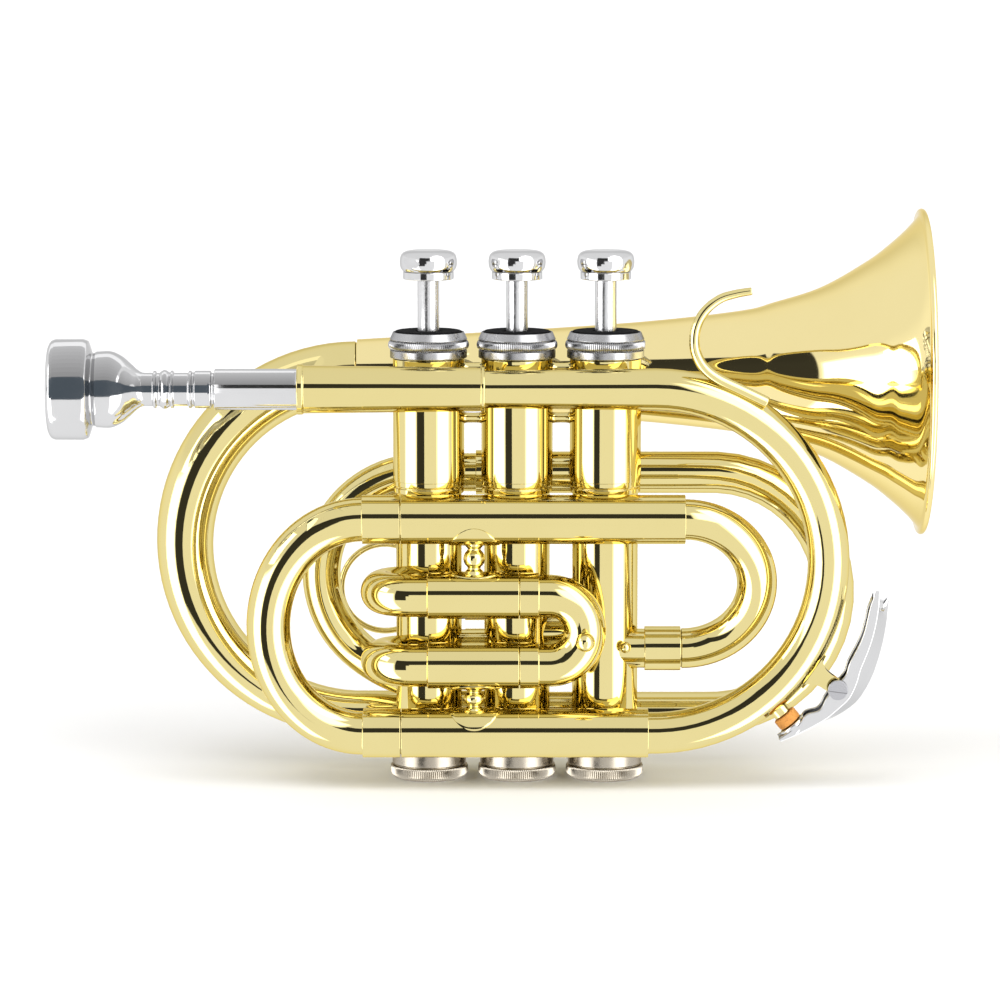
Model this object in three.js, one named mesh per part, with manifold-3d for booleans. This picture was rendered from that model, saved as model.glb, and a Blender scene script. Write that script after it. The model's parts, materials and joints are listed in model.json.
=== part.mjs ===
// Pocket trumpet: three upright piston valves with the tubing wound tightly round them.
// Millimetres. +X points to the bell, +Y away from the right-hand side, +Z up the valves.
// Places along X count from the middle valve, and heights from under the bottom caps.
import * as THREE from 'three';
import { mergeVertices } from 'three/addons/utils/BufferGeometryUtils.js';
import Module from 'manifold-3d';

const wasm = await Module();
wasm.setup();

// Clearances, and how finely round shapes are divided
const FIT_GAP = 0.3;
const SLIDE_GAP = 0.35;
const CUT_OVERRUN = 3;
const TUBE_SIDES = 10;
const VALVE_SIDES = 16;
const BELL_SIDES = 20;
const ROD_SIDES = 8;
const BOW_STEPS = 10;
const CROOK_STEPS = 6;
const ELBOW_STEPS = 4;

// Valve casings: a wide spring barrel above a narrower port section
const VALVE_COUNT = 3;
const VALVE_PITCH = 25.5;
const CASING_RADIUS = 9.5;
const CASING_BORE_RADIUS = 8.6;
const BARREL_RADIUS = 10.3;
const BARREL_BORE_RADIUS = 9.4;
const BARREL_BOTTOM = 86.9;
const BARREL_TOP = 122.2;
const TURNED_RING_RADIUS = 10.15;
const TURNED_RING_HEIGHT = 1.5;
const TURNED_GROOVE_RADIUS = 9.75;
const TURNED_GROOVE_HEIGHT = 0.5;
const NECK_RADIUS = 9.9;
const NECK_HEIGHT = 4.4;

// Caps
const BOTTOM_CAP_RADIUS = 11.25;
const BOTTOM_CAP_BODY_RADIUS = 10.7;
const BOTTOM_CAP_FOOT_RADIUS = 10.2;
const BOTTOM_CAP_HEIGHT = 7.8;
const BOTTOM_CAP_FLOOR = 2;
const BOTTOM_CAP_CHAMFER = 1.1;
const BOTTOM_KNURL_TOP = 3.9;
const VENT_RADIUS = 2;
const TOP_CAP_RADIUS = 11.65;
const TOP_CAP_SKIRT_RADIUS = 11.1;
const TOP_CAP_SKIRT_HEIGHT = 2.3;
const TOP_KNURL_HEIGHT = 2.8;
const TOP_CAP_SHOULDER_RADIUS = 11.25;
const TOP_CAP_CROWN_RADIUS = 10.25;
const TOP_CAP_CROWN_HEIGHT = 2.3;
const TOP_CAP_ROOF = 1.3;
const TOP_CAP_RECESS_RADIUS = 9.95;

// Pistons, guides, springs, stems, felts and buttons
const STROKE = 14;
const PISTON_BOTTOM = 20;
const PISTON_TOP = 84;
const PISTON_WALL = 0.75;
const PASSAGE_RADIUS = 4.6;
const PASSAGE_WALL = 0.5;
const CAGE_RADIUS = 6.6;
const CAGE_WALL = 0.8;
const CAGE_TOP = 123.2;
const CAGE_ROOF = 1.6;
const GUIDE_THICKNESS = 2.4;
const GUIDE_WIDTH = 3.4;
const SPRING_WIRE_RADIUS = 0.45;
const SPRING_RADIUS = 4.6;
const SPRING_TURNS = 5;
const SPRING_STEPS_PER_TURN = 6;
const SPRING_SIDES = 4;
const STEM_RADIUS = 3.15;
const STEM_FOOT_RADIUS = 5.4;
const STEM_FOOT_HEIGHT = 1.5;
const FELT_RADIUS = 9.6;
const FELT_THICKNESS = 1.8;
const BUTTON_RADIUS = 8.2;
const BUTTON_COLLAR_RADIUS = 7.3;
const BUTTON_COLLAR_HEIGHT = 2.1;
const BUTTON_HEAD_HEIGHT = 6.2;

// Tubes that stand in front of the casings
const FRONT_Y = -17.4;
const TUBE_WALL = 0.6;
const LEADPIPE_HEIGHT = 115;
const LEADPIPE_START = -24;
const LEADPIPE_START_RADIUS = 5.15;
const LEADPIPE_BOW_START = 39.5;
const LEADPIPE_BOW_RADIUS = 6;
const SLEEVE_SPIGOT = 8;
const MAIN_SLEEVE_RADIUS = 7.06;
const LOWER_SLEEVE_HEIGHT = 15.75;
const LOWER_SLEEVE_RIGHT = 37.6;
const UPPER_SLEEVE_RISE = 22.05;
const UPPER_SLEEVE_RIGHT = 48;
const MAIN_SLEEVE_LEFT = -33.2;
const MAIN_FERRULE_LENGTH = 10.8;
const MAIN_LEG_LENGTH = 45;
const MAIN_BOW_TUBE_RADIUS = 6.28;
const MAIN_BOW_REACH = 27;
const RETURN_BOW_TUBE_RADIUS = 5.8;
const INLET_HEIGHT = 38.1;
const INLET_Y = -3;
const INLET_TUBE_RADIUS = 5.7;
const INLET_FERRULE_RADIUS = 6.4;
const INLET_FERRULE_LEFT = 36.9;
const INLET_FERRULE_RIGHT = 47.3;
const INLET_SHOULDER = 1.5;
const INLET_SPIGOT = 6;

// Receiver and mouthpiece
const RECEIVER_LEFT = -62.7;
const RECEIVER_RIGHT = -9.2;
const RECEIVER_COLLAR_RADIUS = 7.2;
const RECEIVER_COLLAR_LENGTH = 1.6;
const RECEIVER_RADIUS = 6.85;
const RECEIVER_END_RADIUS = 6.25;
const RECEIVER_BEAD_RADIUS = 6.6;
const RECEIVER_BEAD_LENGTH = 1;
const MOUTHPIECE_LENGTH = 89;
const MOUTHPIECE_LEFT = -133.5;
const RIM_RADIUS = 14.35;
const RIM_WIDTH = 9.9;
const RIM_ROUND = 1.6;
const CUP_RADIUS = 8.3;
const CUP_DEPTH = 14;
const CUP_BODY_RADIUS = 10.4;
const THROAT_RADIUS = 1.9;
const THROAT_LENGTH = 5;
const MOUTHPIECE_NECK_RADIUS = 4.75;
const MOUTHPIECE_BEAD_RADIUS = 5.6;
const MOUTHPIECE_RING_RADIUS = 5.35;
const SHANK_RADIUS = 5.85;
const SHANK_END_RADIUS = 5.3;
const BACKBORE_END_RADIUS = 4.4;

// First valve slide, in front of casings 1 and 2
const VALVE_TUBE_RADIUS = 6.1;
const VALVE_SLEEVE_RADIUS = 6.6;
const FIRST_LOWER_RISE = 19.65;
const FIRST_SLIDE_SPREAD = 20.2;
const KNUCKLE_X = -30.3;
const FIRST_SLEEVE_LEFT = -25.5;
const FIRST_SLEEVE_RIGHT = 0.5;
const FIRST_FERRULE_LENGTH = 5.4;
const FIRST_CROOK_X = 9.3;
const FIRST_LEG_LENGTH = 24;
const KNOB_RADIUS = 2.75;
const KNOB_POST_RADIUS = 1.2;
const KNOB_POST_LENGTH = 1.6;
const FIRST_KNOB_DROP = 1.8;

// Second and third valve slides, behind the casings
const REAR_SLEEVE_RADIUS = 6.3;
const REAR_CROOK_TUBE_RADIUS = 5.9;
const SECOND_TUBE_GAP = 1.1;
const SECOND_SLEEVE_END = 24;
const SECOND_FERRULE_LENGTH = 4;
const SECOND_LEG_LENGTH = 13;
const THIRD_TUBE_GAP = 2.6;
const THIRD_LOWER_HEIGHT = 32.3;
const THIRD_Y = 30;
const THIRD_ELBOW = 10;
const THIRD_SLEEVE_END = -9;
const THIRD_FERRULE_LENGTH = 6;
const THIRD_CROOK_X = -20.8;
const THIRD_LEG_LENGTH = 22;
const FINGER_RING_RADIUS = 13;
const FINGER_RING_WIRE_RADIUS = 0.9;
const FINGER_RING_BITE = 5.27;
const FINGER_RING_DEGREES = 148.5;
const FULL_TURN_DEGREES = 360;

// Links between the casings
const LINK_RADIUS = 5.7;
const LINK_1_2_HEIGHT = 37.4;
const LINK_2_3_HEIGHT = 42;

// Rear tubing from valve 1 to the bell
const OUTLET_TUBE_RADIUS = 5.6;
const OUTLET_Y = 17;
const OUTLET_GAP = 0.5;
const OUTLET_BOTTOM = 27.4;
const OUTLET_BEND_X = -27.5;
const OUTLET_RIGHT = -4;
const OUTLET_PORT_Y = 5;
const OUTLET_TURN_DEGREES = 178;
const REAR_BOW_X = 57.3;
const REAR_BOW_TUBE_RADIUS = 6.1;
const REAR_SOCKET_LENGTH = 8;
const BOTTOM_TUBE_HEIGHT = 15.5;
const BOTTOM_TUBE_Y = 18;
const BOTTOM_TUBE_RADIUS = 6.5;
const BOTTOM_JOINT_X = -8;
const BELL_BOW_X = -47.4;
const BELL_BOW_END_RADIUS = 8.9;
const BELL_HEIGHT = 115.8;
const BELL_Y = 25;
const BELL_TAIL_RADIUS = 9.5;
const BELL_RADIUS = 47.85;
const BELL_BEAD_RADIUS = 0.95;
const BEAD_STEPS = 4;
const BEAD_FROM_DEGREES = 150;
const BEAD_TO_DEGREES = -90;
const BELL_RIM_X = 119.5;
const BELL_SPIGOT = 6;

// Braces and finger hook
const BRACE_X = -12.3;
const BRACE_WAIST_RADIUS = 1.7;
const BRACE_BELLY_RADIUS = 3.1;
const BRACE_FLANGE_LENGTH = 9.2;
const BRACE_FLANGE_WIDTH = 6.7;
const BRACE_FLANGE_THICKNESS = 0.6;
const BELL_BRACE_RADIUS = 3;
const BELL_BRACE_HEIGHT = 112;
const BELL_BRACE_DROP = 3.8;
const HOOK_ROD_RADIUS = 1.65;
const HOOK_TIP_RADIUS = 1.1;
const HOOK_FOOT_DEGREES = 55.7;
const HOOK_WIDTH = 21;
const HOOK_HEIGHT = 31.8;
const HOOK_SIDEWAYS = 3.9;
const HOOK_STEPS = 16;

// Water key, on the lower right of the leadpipe bow
const PIVOT_DEGREES = -34.8;
const PIVOT_RISE = 7.975;
const CORK_DEGREES = -50;
const CORK_RADIUS = 2.9;
const CORK_THICKNESS = 3;
const NIPPLE_RADIUS = 2.7;
const NIPPLE_HEIGHT = 1.8;
const DRAIN_RADIUS = 1.2;
const LEVER_WIDTH = 8;
const LEVER_PLATE = 0.9;
const LEVER_CUP_RADIUS = 3.8;
const LEVER_CUP_THICKNESS = 2.8;
const SADDLE_WIDTH = 5.2;
const SADDLE_LENGTH = 13;
const SADDLE_FOOT_HEIGHT = 1.8;
const SADDLE_BOSS_RADIUS = 2.4;
const SCREW_RADIUS = 1.2;
const SCREW_HEAD_RADIUS = 2.9;
const SCREW_HEAD_THICKNESS = 1.2;

// Outlines as shares of the sizes named above.
// Bell flare: share of the length from the tail to the rim, share of the rise from tail to rim radius.
const BELL_FLARE_SHARES = [
  [0, 0], [0.28, 0.07], [0.51, 0.14], [0.68, 0.225], [0.74, 0.292], [0.823, 0.41],
  [0.902, 0.607], [0.943, 0.741], [0.978, 0.882], [1, 1],
];
// Turned part of the mouthpiece between cup and shank: share of the length, bead or neck radius.
const MOUTHPIECE_NECK_SHARES = [
  [0.29, MOUTHPIECE_NECK_RADIUS], [0.335, MOUTHPIECE_NECK_RADIUS], [0.345, MOUTHPIECE_BEAD_RADIUS],
  [0.385, MOUTHPIECE_BEAD_RADIUS], [0.395, MOUTHPIECE_NECK_RADIUS], [0.435, MOUTHPIECE_NECK_RADIUS],
  [0.44, MOUTHPIECE_RING_RADIUS], [0.465, MOUTHPIECE_RING_RADIUS], [0.47, MOUTHPIECE_NECK_RADIUS],
  [0.52, MOUTHPIECE_NECK_RADIUS], [0.53, MOUTHPIECE_RING_RADIUS],
];
const CUP_WAIST_SHARE = 0.75;
const CUP_BODY_START_SHARE = 0.14;
const CUP_BODY_END_SHARE = 0.225;
const SHANK_SEAT_SHARE = 0.78;
// Finger hook: share of its width towards the valves, share of its height, from the foot.
const HOOK_SHARES = [
  [0, 0], [0.34, 0.108], [0.66, 0.21], [0.86, 0.315], [0.97, 0.45], [0.99, 0.585],
  [0.95, 0.71], [0.84, 0.83], [0.65, 0.93], [0.44, 0.975], [0.22, 1],
];
// Outlet bend: the share of its turn after which it leans in to the casing.
const OUTLET_LEAN_SHARE = 0.75;
// Pull knob: share of the ball's radius between its centre and the end of its post.
const KNOB_SEAT_SHARE = 0.8;
// Brace baluster: share of its length, share from waist to belly radius.
const BRACE_SHARES = [[0, 0.9], [0.12, 0.5], [0.22, 0], [0.5, 1], [0.78, 0], [0.88, 0.5], [1, 0.9]];
// Button head: share of its radius, share of its height above the collar.
const BUTTON_SHARES = [[0.9, 0], [1, 0.3], [1, 0.55], [0.93, 0.8], [0.72, 0.93], [0.4, 0.99]];
// Water key lever: share of the turn from the pivot to the cork, reach of its cheek edge and plate.
const LEVER_SHARES = [
  [1.33, -0.28, -0.02], [0.87, -0.33, 0.35], [0.41, -0.5, 0.75], [0, -0.62, 1.05], [-0.45, -0.3, 1.15],
  [-0.91, 0.2, 1.2], [-1.37, 0.35, 1.1], [-1.83, 0.25, 0.85],
];

// Values that follow from the ones above
const firstLowerHeight = LOWER_SLEEVE_HEIGHT + FIRST_LOWER_RISE;
const firstUpperHeight = firstLowerHeight + FIRST_SLIDE_SPREAD;
const upperSleeveHeight = firstUpperHeight + UPPER_SLEEVE_RISE;
const leverRise = SADDLE_BOSS_RADIUS + FIT_GAP + LEVER_PLATE;
const frontSleeveBore = MAIN_SLEEVE_RADIUS - TUBE_WALL;
const mainLegRadius = frontSleeveBore - SLIDE_GAP;
const valveLegRadius = VALVE_SLEEVE_RADIUS - TUBE_WALL - SLIDE_GAP;
const rearLegRadius = REAR_SLEEVE_RADIUS - TUBE_WALL - SLIDE_GAP;
const thirdUpperHeight = THIRD_LOWER_HEIGHT + 2 * REAR_SLEEVE_RADIUS + THIRD_TUBE_GAP;
const secondLowerHeight = thirdUpperHeight + 2 * REAR_SLEEVE_RADIUS + FIT_GAP;
const secondUpperHeight = secondLowerHeight + 2 * REAR_SLEEVE_RADIUS + SECOND_TUBE_GAP;
const outletTop = secondUpperHeight + REAR_SLEEVE_RADIUS + REAR_BOW_TUBE_RADIUS + OUTLET_GAP;
const casingBottom = BOTTOM_CAP_FLOOR + FIT_GAP;
const neckTop = BARREL_TOP + NECK_HEIGHT;
const guideSeat = BARREL_BOTTOM;
const topCapBottom = BARREL_TOP + FIT_GAP;
const roofBottom = neckTop + FIT_GAP;
const roofTop = roofBottom + TOP_CAP_ROOF;
const crownTop = topCapBottom + TOP_CAP_SKIRT_HEIGHT + TOP_KNURL_HEIGHT + TOP_CAP_CROWN_HEIGHT;
const feltTop = roofTop + FIT_GAP + FELT_THICKNESS;
const buttonBottom = feltTop + FIT_GAP + STROKE;
const leadpipeBowCentre = new THREE.Vector3(
  LEADPIPE_BOW_START, FRONT_Y, (LEADPIPE_HEIGHT + LOWER_SLEEVE_HEIGHT) / 2);
const leadpipeBowReach = (LEADPIPE_HEIGHT - LOWER_SLEEVE_HEIGHT) / 2;
const leadpipeBowSurface = leadpipeBowReach + LEADPIPE_BOW_RADIUS;
const pivotReach = leadpipeBowSurface + PIVOT_RISE;
const corkBottom = leadpipeBowSurface + NIPPLE_HEIGHT + FIT_GAP;
const corkTop = corkBottom + CORK_THICKNESS;
const valveX = (index) => (index - (VALVE_COUNT - 1) / 2) * VALVE_PITCH;

const AXIS_X = new THREE.Vector3(1, 0, 0);
const AXIS_Y = new THREE.Vector3(0, 1, 0);
const AXIS_Z = new THREE.Vector3(0, 0, 1);

const brass = new THREE.MeshStandardMaterial({ color: 0xd9c26a, metalness: 1, roughness: 0.12 });
const silver = new THREE.MeshStandardMaterial({ color: 0xe6e6ea, metalness: 1, roughness: 0.1 });
const nickel = new THREE.MeshStandardMaterial({ color: 0xc9c2b6, metalness: 1, roughness: 0.2 });
const steel = new THREE.MeshStandardMaterial({ color: 0xb4b6ba, metalness: 1, roughness: 0.3 });
const feltCloth = new THREE.MeshStandardMaterial({ color: 0x141414, metalness: 0, roughness: 0.95 });
const cork = new THREE.MeshStandardMaterial({ color: 0xe8912c, metalness: 0, roughness: 0.8 });

const point = (x, y, z) => new THREE.Vector3(x, y, z);

// Turns a closed mesh's faces outward and drops faces without an area.
function closedBody(geometry) {
  const bare = new THREE.BufferGeometry();
  bare.setAttribute('position', geometry.getAttribute('position'));
  bare.setIndex(geometry.getIndex());
  const merged = mergeVertices(bare);
  const corners = merged.getAttribute('position');
  const index = merged.getIndex().array;
  const kept = [];
  const a = new THREE.Vector3();
  const b = new THREE.Vector3();
  const c = new THREE.Vector3();
  let volume = 0;
  for (let i = 0; i < index.length; i += 3) {
    const [p, q, r] = [index[i], index[i + 1], index[i + 2]];
    if (p === q || q === r || r === p) continue;
    a.fromBufferAttribute(corners, p);
    b.fromBufferAttribute(corners, q);
    c.fromBufferAttribute(corners, r);
    volume += a.dot(b.cross(c));
    kept.push(p, q, r);
  }
  if (volume < 0) kept.reverse();
  merged.setIndex(kept);
  return merged;
}

function toSolid(geometry) {
  const body = closedBody(geometry);
  const vertProperties = new Float32Array(body.getAttribute('position').array);
  const triVerts = new Uint32Array(body.getIndex().array);
  return new wasm.Manifold(new wasm.Mesh({ numProp: 3, vertProperties, triVerts }));
}

function toGeometry(solid) {
  const mesh = solid.getMesh();
  const geometry = new THREE.BufferGeometry();
  geometry.setAttribute('position', new THREE.BufferAttribute(new Float32Array(mesh.vertProperties), 3));
  geometry.setIndex(new THREE.BufferAttribute(new Uint32Array(mesh.triVerts), 1));
  return geometry;
}

// Cuts every tool from the first shape, and adds every extra before that.
function shaped(base, { add = [], cut = [] }) {
  let solid = toSolid(base);
  for (const extra of add) solid = solid.add(toSolid(extra));
  for (const tool of cut) solid = solid.subtract(toSolid(tool));
  return toGeometry(solid);
}

// A closed profile of [radius, height] points turned about the Z axis.
function turned(profile, sides) {
  const outline = profile.map(([radius, height]) => new THREE.Vector2(radius, height));
  const onAxis = profile[0][0] === 0 && profile.at(-1)[0] === 0;
  if (!onAxis) outline.push(outline[0].clone());
  return closedBody(new THREE.LatheGeometry(outline, sides).rotateX(Math.PI / 2));
}

// The same, turned about a line along +X or +Y through a given point.
function turnedAlong(axis, through, profile, sides) {
  const turn = new THREE.Quaternion().setFromUnitVectors(AXIS_Z, axis);
  const geometry = turned(profile, sides);
  geometry.applyQuaternion(turn);
  return geometry.translate(through.x, through.y, through.z);
}

// One cross-section of a pipe: its place, the way the pipe runs there, and its two radii.
const station = (at, along, outer, bore) => ({ at, along: along.clone().normalize(), outer, bore });

// A pipe through a row of stations. A bore of 0 all along makes a solid rod.
function pipe(stations, sides = TUBE_SIDES, firstNormal = AXIS_Y) {
  const positions = [];
  const index = [];
  const hollow = stations[0].bore > 0;
  const normal = firstNormal.clone();
  const ring = (entry, radius, across) => {
    for (let k = 0; k < sides; k += 1) {
      const angle = (k / sides) * 2 * Math.PI;
      const corner = entry.at.clone();
      corner.addScaledVector(normal, radius * Math.cos(angle));
      corner.addScaledVector(across, radius * Math.sin(angle));
      positions.push(corner.x, corner.y, corner.z);
    }
  };
  for (const entry of stations) {
    normal.addScaledVector(entry.along, -normal.dot(entry.along)).normalize();
    const across = entry.along.clone().cross(normal);
    ring(entry, entry.outer, across);
    if (hollow) ring(entry, entry.bore, across);
  }
  const stride = hollow ? 2 * sides : sides;
  const quad = (a, b, c, d) => index.push(a, b, c, a, c, d);
  for (let k = 0; k < sides; k += 1) {
    const next = (k + 1) % sides;
    for (let i = 0; i + 1 < stations.length; i += 1) {
      const here = i * stride;
      const there = here + stride;
      quad(here + k, here + next, there + next, there + k);
      if (hollow) quad(here + sides + next, here + sides + k, there + sides + k, there + sides + next);
    }
    const last = (stations.length - 1) * stride;
    if (hollow) {
      quad(k, sides + k, sides + next, next);
      quad(last + k, last + next, last + sides + next, last + sides + k);
    } else if (k > 0 && next > 0) {
      index.push(0, next, k);
      index.push(last, last + k, last + next);
    }
  }
  const geometry = new THREE.BufferGeometry();
  geometry.setAttribute('position', new THREE.BufferAttribute(new Float32Array(positions), 3));
  geometry.setIndex(index);
  return geometry;
}

// Stations on an arc: centre plus u cos(angle) plus v sin(angle), in even steps.
function arc(centre, u, v, fromDegrees, toDegrees, steps, radii) {
  const sign = Math.sign(toDegrees - fromDegrees);
  const stations = [];
  for (let i = 0; i <= steps; i += 1) {
    const share = i / steps;
    const angle = THREE.MathUtils.degToRad(fromDegrees + (toDegrees - fromDegrees) * share);
    const at = centre.clone().addScaledVector(u, Math.cos(angle)).addScaledVector(v, Math.sin(angle));
    const along = u.clone().multiplyScalar(-Math.sin(angle)).addScaledVector(v, Math.cos(angle));
    const { outer, bore } = radii(share);
    stations.push(station(at, along.multiplyScalar(sign), outer, bore));
  }
  return stations;
}

const even = (outer, bore) => () => ({ outer, bore });
const tapering = (first, last, wall) => (share) => {
  const outer = THREE.MathUtils.lerp(first, last, share);
  return { outer, bore: outer - wall };
};

// Moves each station sideways, for bows whose two ends lie at different depths.
function drifting(stations, drift) {
  stations.forEach((entry, i) => {
    entry.at.y += drift(i / (stations.length - 1));
  });
  return stations;
}

// A straight hollow tube along one axis.
function straightTube(from, to, outer, bore, sides = TUBE_SIDES, normal = AXIS_Y) {
  const along = to.clone().sub(from);
  return pipe([station(from, along, outer, bore), station(to, along, outer, bore)], sides, normal);
}

// A plain round bar, for cutting and for posts.
function bar(from, to, radius, sides = TUBE_SIDES) {
  const along = to.clone().sub(from);
  const normal = Math.abs(along.y) > Math.abs(along.x) ? AXIS_X : AXIS_Y;
  return pipe([station(from, along, radius, 0), station(to, along, radius, 0)], sides, normal);
}

// What a tube has to stay clear of where it meets a valve casing.
function casingEnvelope(index) {
  const x = valveX(index);
  const profile = [
    [0, casingBottom], [CASING_RADIUS + FIT_GAP, casingBottom],
    [CASING_RADIUS + FIT_GAP, BARREL_TOP], [0, BARREL_TOP],
  ];
  return turnedAlong(AXIS_Z, point(x, 0, 0), profile, VALVE_SIDES);
}

// Where the air enters and leaves each casing: height, and the way the tube leaves.
const firstPortWay = point(-1, -0.25, 0);
const outletPortWay = point(-1, 1, 0);
const inletPortWay = point(1, INLET_Y / CASING_RADIUS, 0);
const casingPorts = [
  [
    { height: firstUpperHeight, way: firstPortWay }, { height: firstLowerHeight, way: firstPortWay },
    { height: OUTLET_BOTTOM, way: outletPortWay }, { height: LINK_1_2_HEIGHT, way: AXIS_X },
  ],
  [
    { height: LINK_1_2_HEIGHT, way: point(-1, 0, 0) }, { height: LINK_2_3_HEIGHT, way: AXIS_X },
    { height: secondUpperHeight, way: AXIS_Y }, { height: secondLowerHeight, way: AXIS_Y },
  ],
  [
    { height: LINK_2_3_HEIGHT, way: point(-1, 0, 0) }, { height: INLET_HEIGHT, way: inletPortWay },
    { height: thirdUpperHeight, way: AXIS_Y }, { height: THIRD_LOWER_HEIGHT, way: AXIS_Y },
  ],
];

function casing(index) {
  const grooveBottom = BARREL_BOTTOM - TURNED_RING_HEIGHT - TURNED_GROOVE_HEIGHT;
  const profile = [
    [CASING_BORE_RADIUS, casingBottom], [CASING_RADIUS, casingBottom],
    [CASING_RADIUS, grooveBottom - TURNED_RING_HEIGHT],
    [TURNED_RING_RADIUS, grooveBottom - TURNED_RING_HEIGHT], [TURNED_RING_RADIUS, grooveBottom],
    [TURNED_GROOVE_RADIUS, grooveBottom], [TURNED_GROOVE_RADIUS, grooveBottom + TURNED_GROOVE_HEIGHT],
    [TURNED_RING_RADIUS, grooveBottom + TURNED_GROOVE_HEIGHT], [TURNED_RING_RADIUS, BARREL_BOTTOM],
    [BARREL_RADIUS, BARREL_BOTTOM], [BARREL_RADIUS, BARREL_TOP],
    [NECK_RADIUS, BARREL_TOP], [NECK_RADIUS, neckTop],
    [BARREL_BORE_RADIUS, neckTop], [BARREL_BORE_RADIUS, guideSeat],
    [CASING_BORE_RADIUS, guideSeat],
  ];
  const ports = casingPorts[index].map(({ height, way }) => {
    const reach = way.clone().normalize().multiplyScalar(CASING_RADIUS + CUT_OVERRUN);
    return bar(point(0, 0, height), reach.setZ(height), PASSAGE_RADIUS, ROD_SIDES);
  });
  return shaped(turned(profile, VALVE_SIDES), { cut: ports });
}

// A piston: thin shell with three air passages, and the slotted spring cage on top.
function piston(index) {
  const radius = CASING_BORE_RADIUS - SLIDE_GAP;
  const shell = [
    [radius - PISTON_WALL, PISTON_BOTTOM], [radius, PISTON_BOTTOM], [radius, PISTON_TOP],
    [CAGE_RADIUS, PISTON_TOP], [CAGE_RADIUS, CAGE_TOP], [0, CAGE_TOP],
    [0, CAGE_TOP - CAGE_ROOF], [CAGE_RADIUS - CAGE_WALL, CAGE_TOP - CAGE_ROOF],
    [CAGE_RADIUS - CAGE_WALL, PISTON_TOP - PISTON_WALL], [radius - PISTON_WALL, PISTON_TOP - PISTON_WALL],
  ];
  const heights = casingPorts[index].map((port) => port.height);
  const throughHeight = Math.min(...heights) + PASSAGE_RADIUS;
  const spacing = 2 * (PASSAGE_RADIUS + PASSAGE_WALL) + FIT_GAP;
  const passages = [0, 1, 2].map((k) => {
    const height = throughHeight + k * spacing;
    const tilt = k === 0 ? 0 : PASSAGE_RADIUS / 2;
    const half = radius + CUT_OVERRUN;
    return [point(-half, 0, height - tilt), point(half, 0, height + tilt)];
  });
  const inside = turned(
    [[0, PISTON_BOTTOM], [radius - PISTON_WALL / 2, PISTON_BOTTOM],
      [radius - PISTON_WALL / 2, PISTON_TOP - PISTON_WALL / 2], [0, PISTON_TOP - PISTON_WALL / 2]],
    VALVE_SIDES);
  const insideSolid = toSolid(inside);
  let solid = toSolid(turned(shell, VALVE_SIDES));
  for (const [from, to] of passages) {
    const wall = toSolid(bar(from, to, PASSAGE_RADIUS + PASSAGE_WALL, ROD_SIDES));
    solid = solid.add(wall.intersect(insideSolid));
  }
  for (const [from, to] of passages) {
    solid = solid.subtract(toSolid(bar(from, to, PASSAGE_RADIUS, ROD_SIDES)));
  }
  const slotWidth = GUIDE_WIDTH + 2 * FIT_GAP;
  const slotBottom = guideSeat;
  const slotTop = guideSeat + FIT_GAP + GUIDE_THICKNESS + STROKE + FIT_GAP;
  const slot = new THREE.BoxGeometry(2 * CAGE_RADIUS + CUT_OVERRUN, slotWidth, slotTop - slotBottom);
  slot.translate(0, 0, (slotTop + slotBottom) / 2);
  return toGeometry(solid.subtract(toSolid(slot)));
}

function valveGuide() {
  const length = 2 * (BARREL_BORE_RADIUS - SLIDE_GAP);
  const geometry = new THREE.BoxGeometry(length, GUIDE_WIDTH, GUIDE_THICKNESS);
  geometry.translate(0, 0, guideSeat + FIT_GAP + GUIDE_THICKNESS / 2);
  const rim = turned(
    [[0, 0], [BARREL_BORE_RADIUS - SLIDE_GAP, 0], [BARREL_BORE_RADIUS - SLIDE_GAP, neckTop], [0, neckTop]],
    VALVE_SIDES);
  return toGeometry(toSolid(geometry).intersect(toSolid(rim)));
}

// A coil spring between the guide and the roof of the cage.
function valveSpring() {
  const bottom = guideSeat + FIT_GAP + GUIDE_THICKNESS + FIT_GAP + SPRING_WIRE_RADIUS;
  const top = CAGE_TOP - CAGE_ROOF - FIT_GAP - SPRING_WIRE_RADIUS;
  const steps = SPRING_TURNS * SPRING_STEPS_PER_TURN;
  const rise = (top - bottom) / (SPRING_TURNS * 2 * Math.PI);
  const stations = [];
  for (let i = 0; i <= steps; i += 1) {
    const angle = (i / SPRING_STEPS_PER_TURN) * 2 * Math.PI;
    const at = point(SPRING_RADIUS * Math.cos(angle), SPRING_RADIUS * Math.sin(angle), bottom + rise * angle);
    const along = point(-SPRING_RADIUS * Math.sin(angle), SPRING_RADIUS * Math.cos(angle), rise);
    stations.push(station(at, along, SPRING_WIRE_RADIUS, 0));
  }
  return pipe(stations, SPRING_SIDES, AXIS_Z);
}

function valveStem() {
  const bottom = CAGE_TOP + FIT_GAP;
  const footTop = bottom + STEM_FOOT_HEIGHT;
  const top = buttonBottom - FIT_GAP;
  return turned(
    [[0, bottom], [STEM_FOOT_RADIUS, bottom], [STEM_FOOT_RADIUS, footTop], [STEM_RADIUS, footTop],
      [STEM_RADIUS, top], [0, top]],
    VALVE_SIDES);
}

function fingerButton() {
  const collarTop = buttonBottom + BUTTON_COLLAR_HEIGHT;
  const head = BUTTON_SHARES.map(([radial, up]) => [
    radial * BUTTON_RADIUS, collarTop + up * BUTTON_HEAD_HEIGHT]);
  return turned(
    [[0, buttonBottom], [BUTTON_COLLAR_RADIUS, buttonBottom], [BUTTON_COLLAR_RADIUS, collarTop],
      ...head, [0, collarTop + BUTTON_HEAD_HEIGHT]],
    VALVE_SIDES);
}

function stemFelt() {
  const bottom = roofTop + FIT_GAP;
  const inner = STEM_RADIUS + FIT_GAP;
  return turned(
    [[inner, bottom], [FELT_RADIUS, bottom], [FELT_RADIUS, feltTop], [inner, feltTop]], VALVE_SIDES);
}

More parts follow.
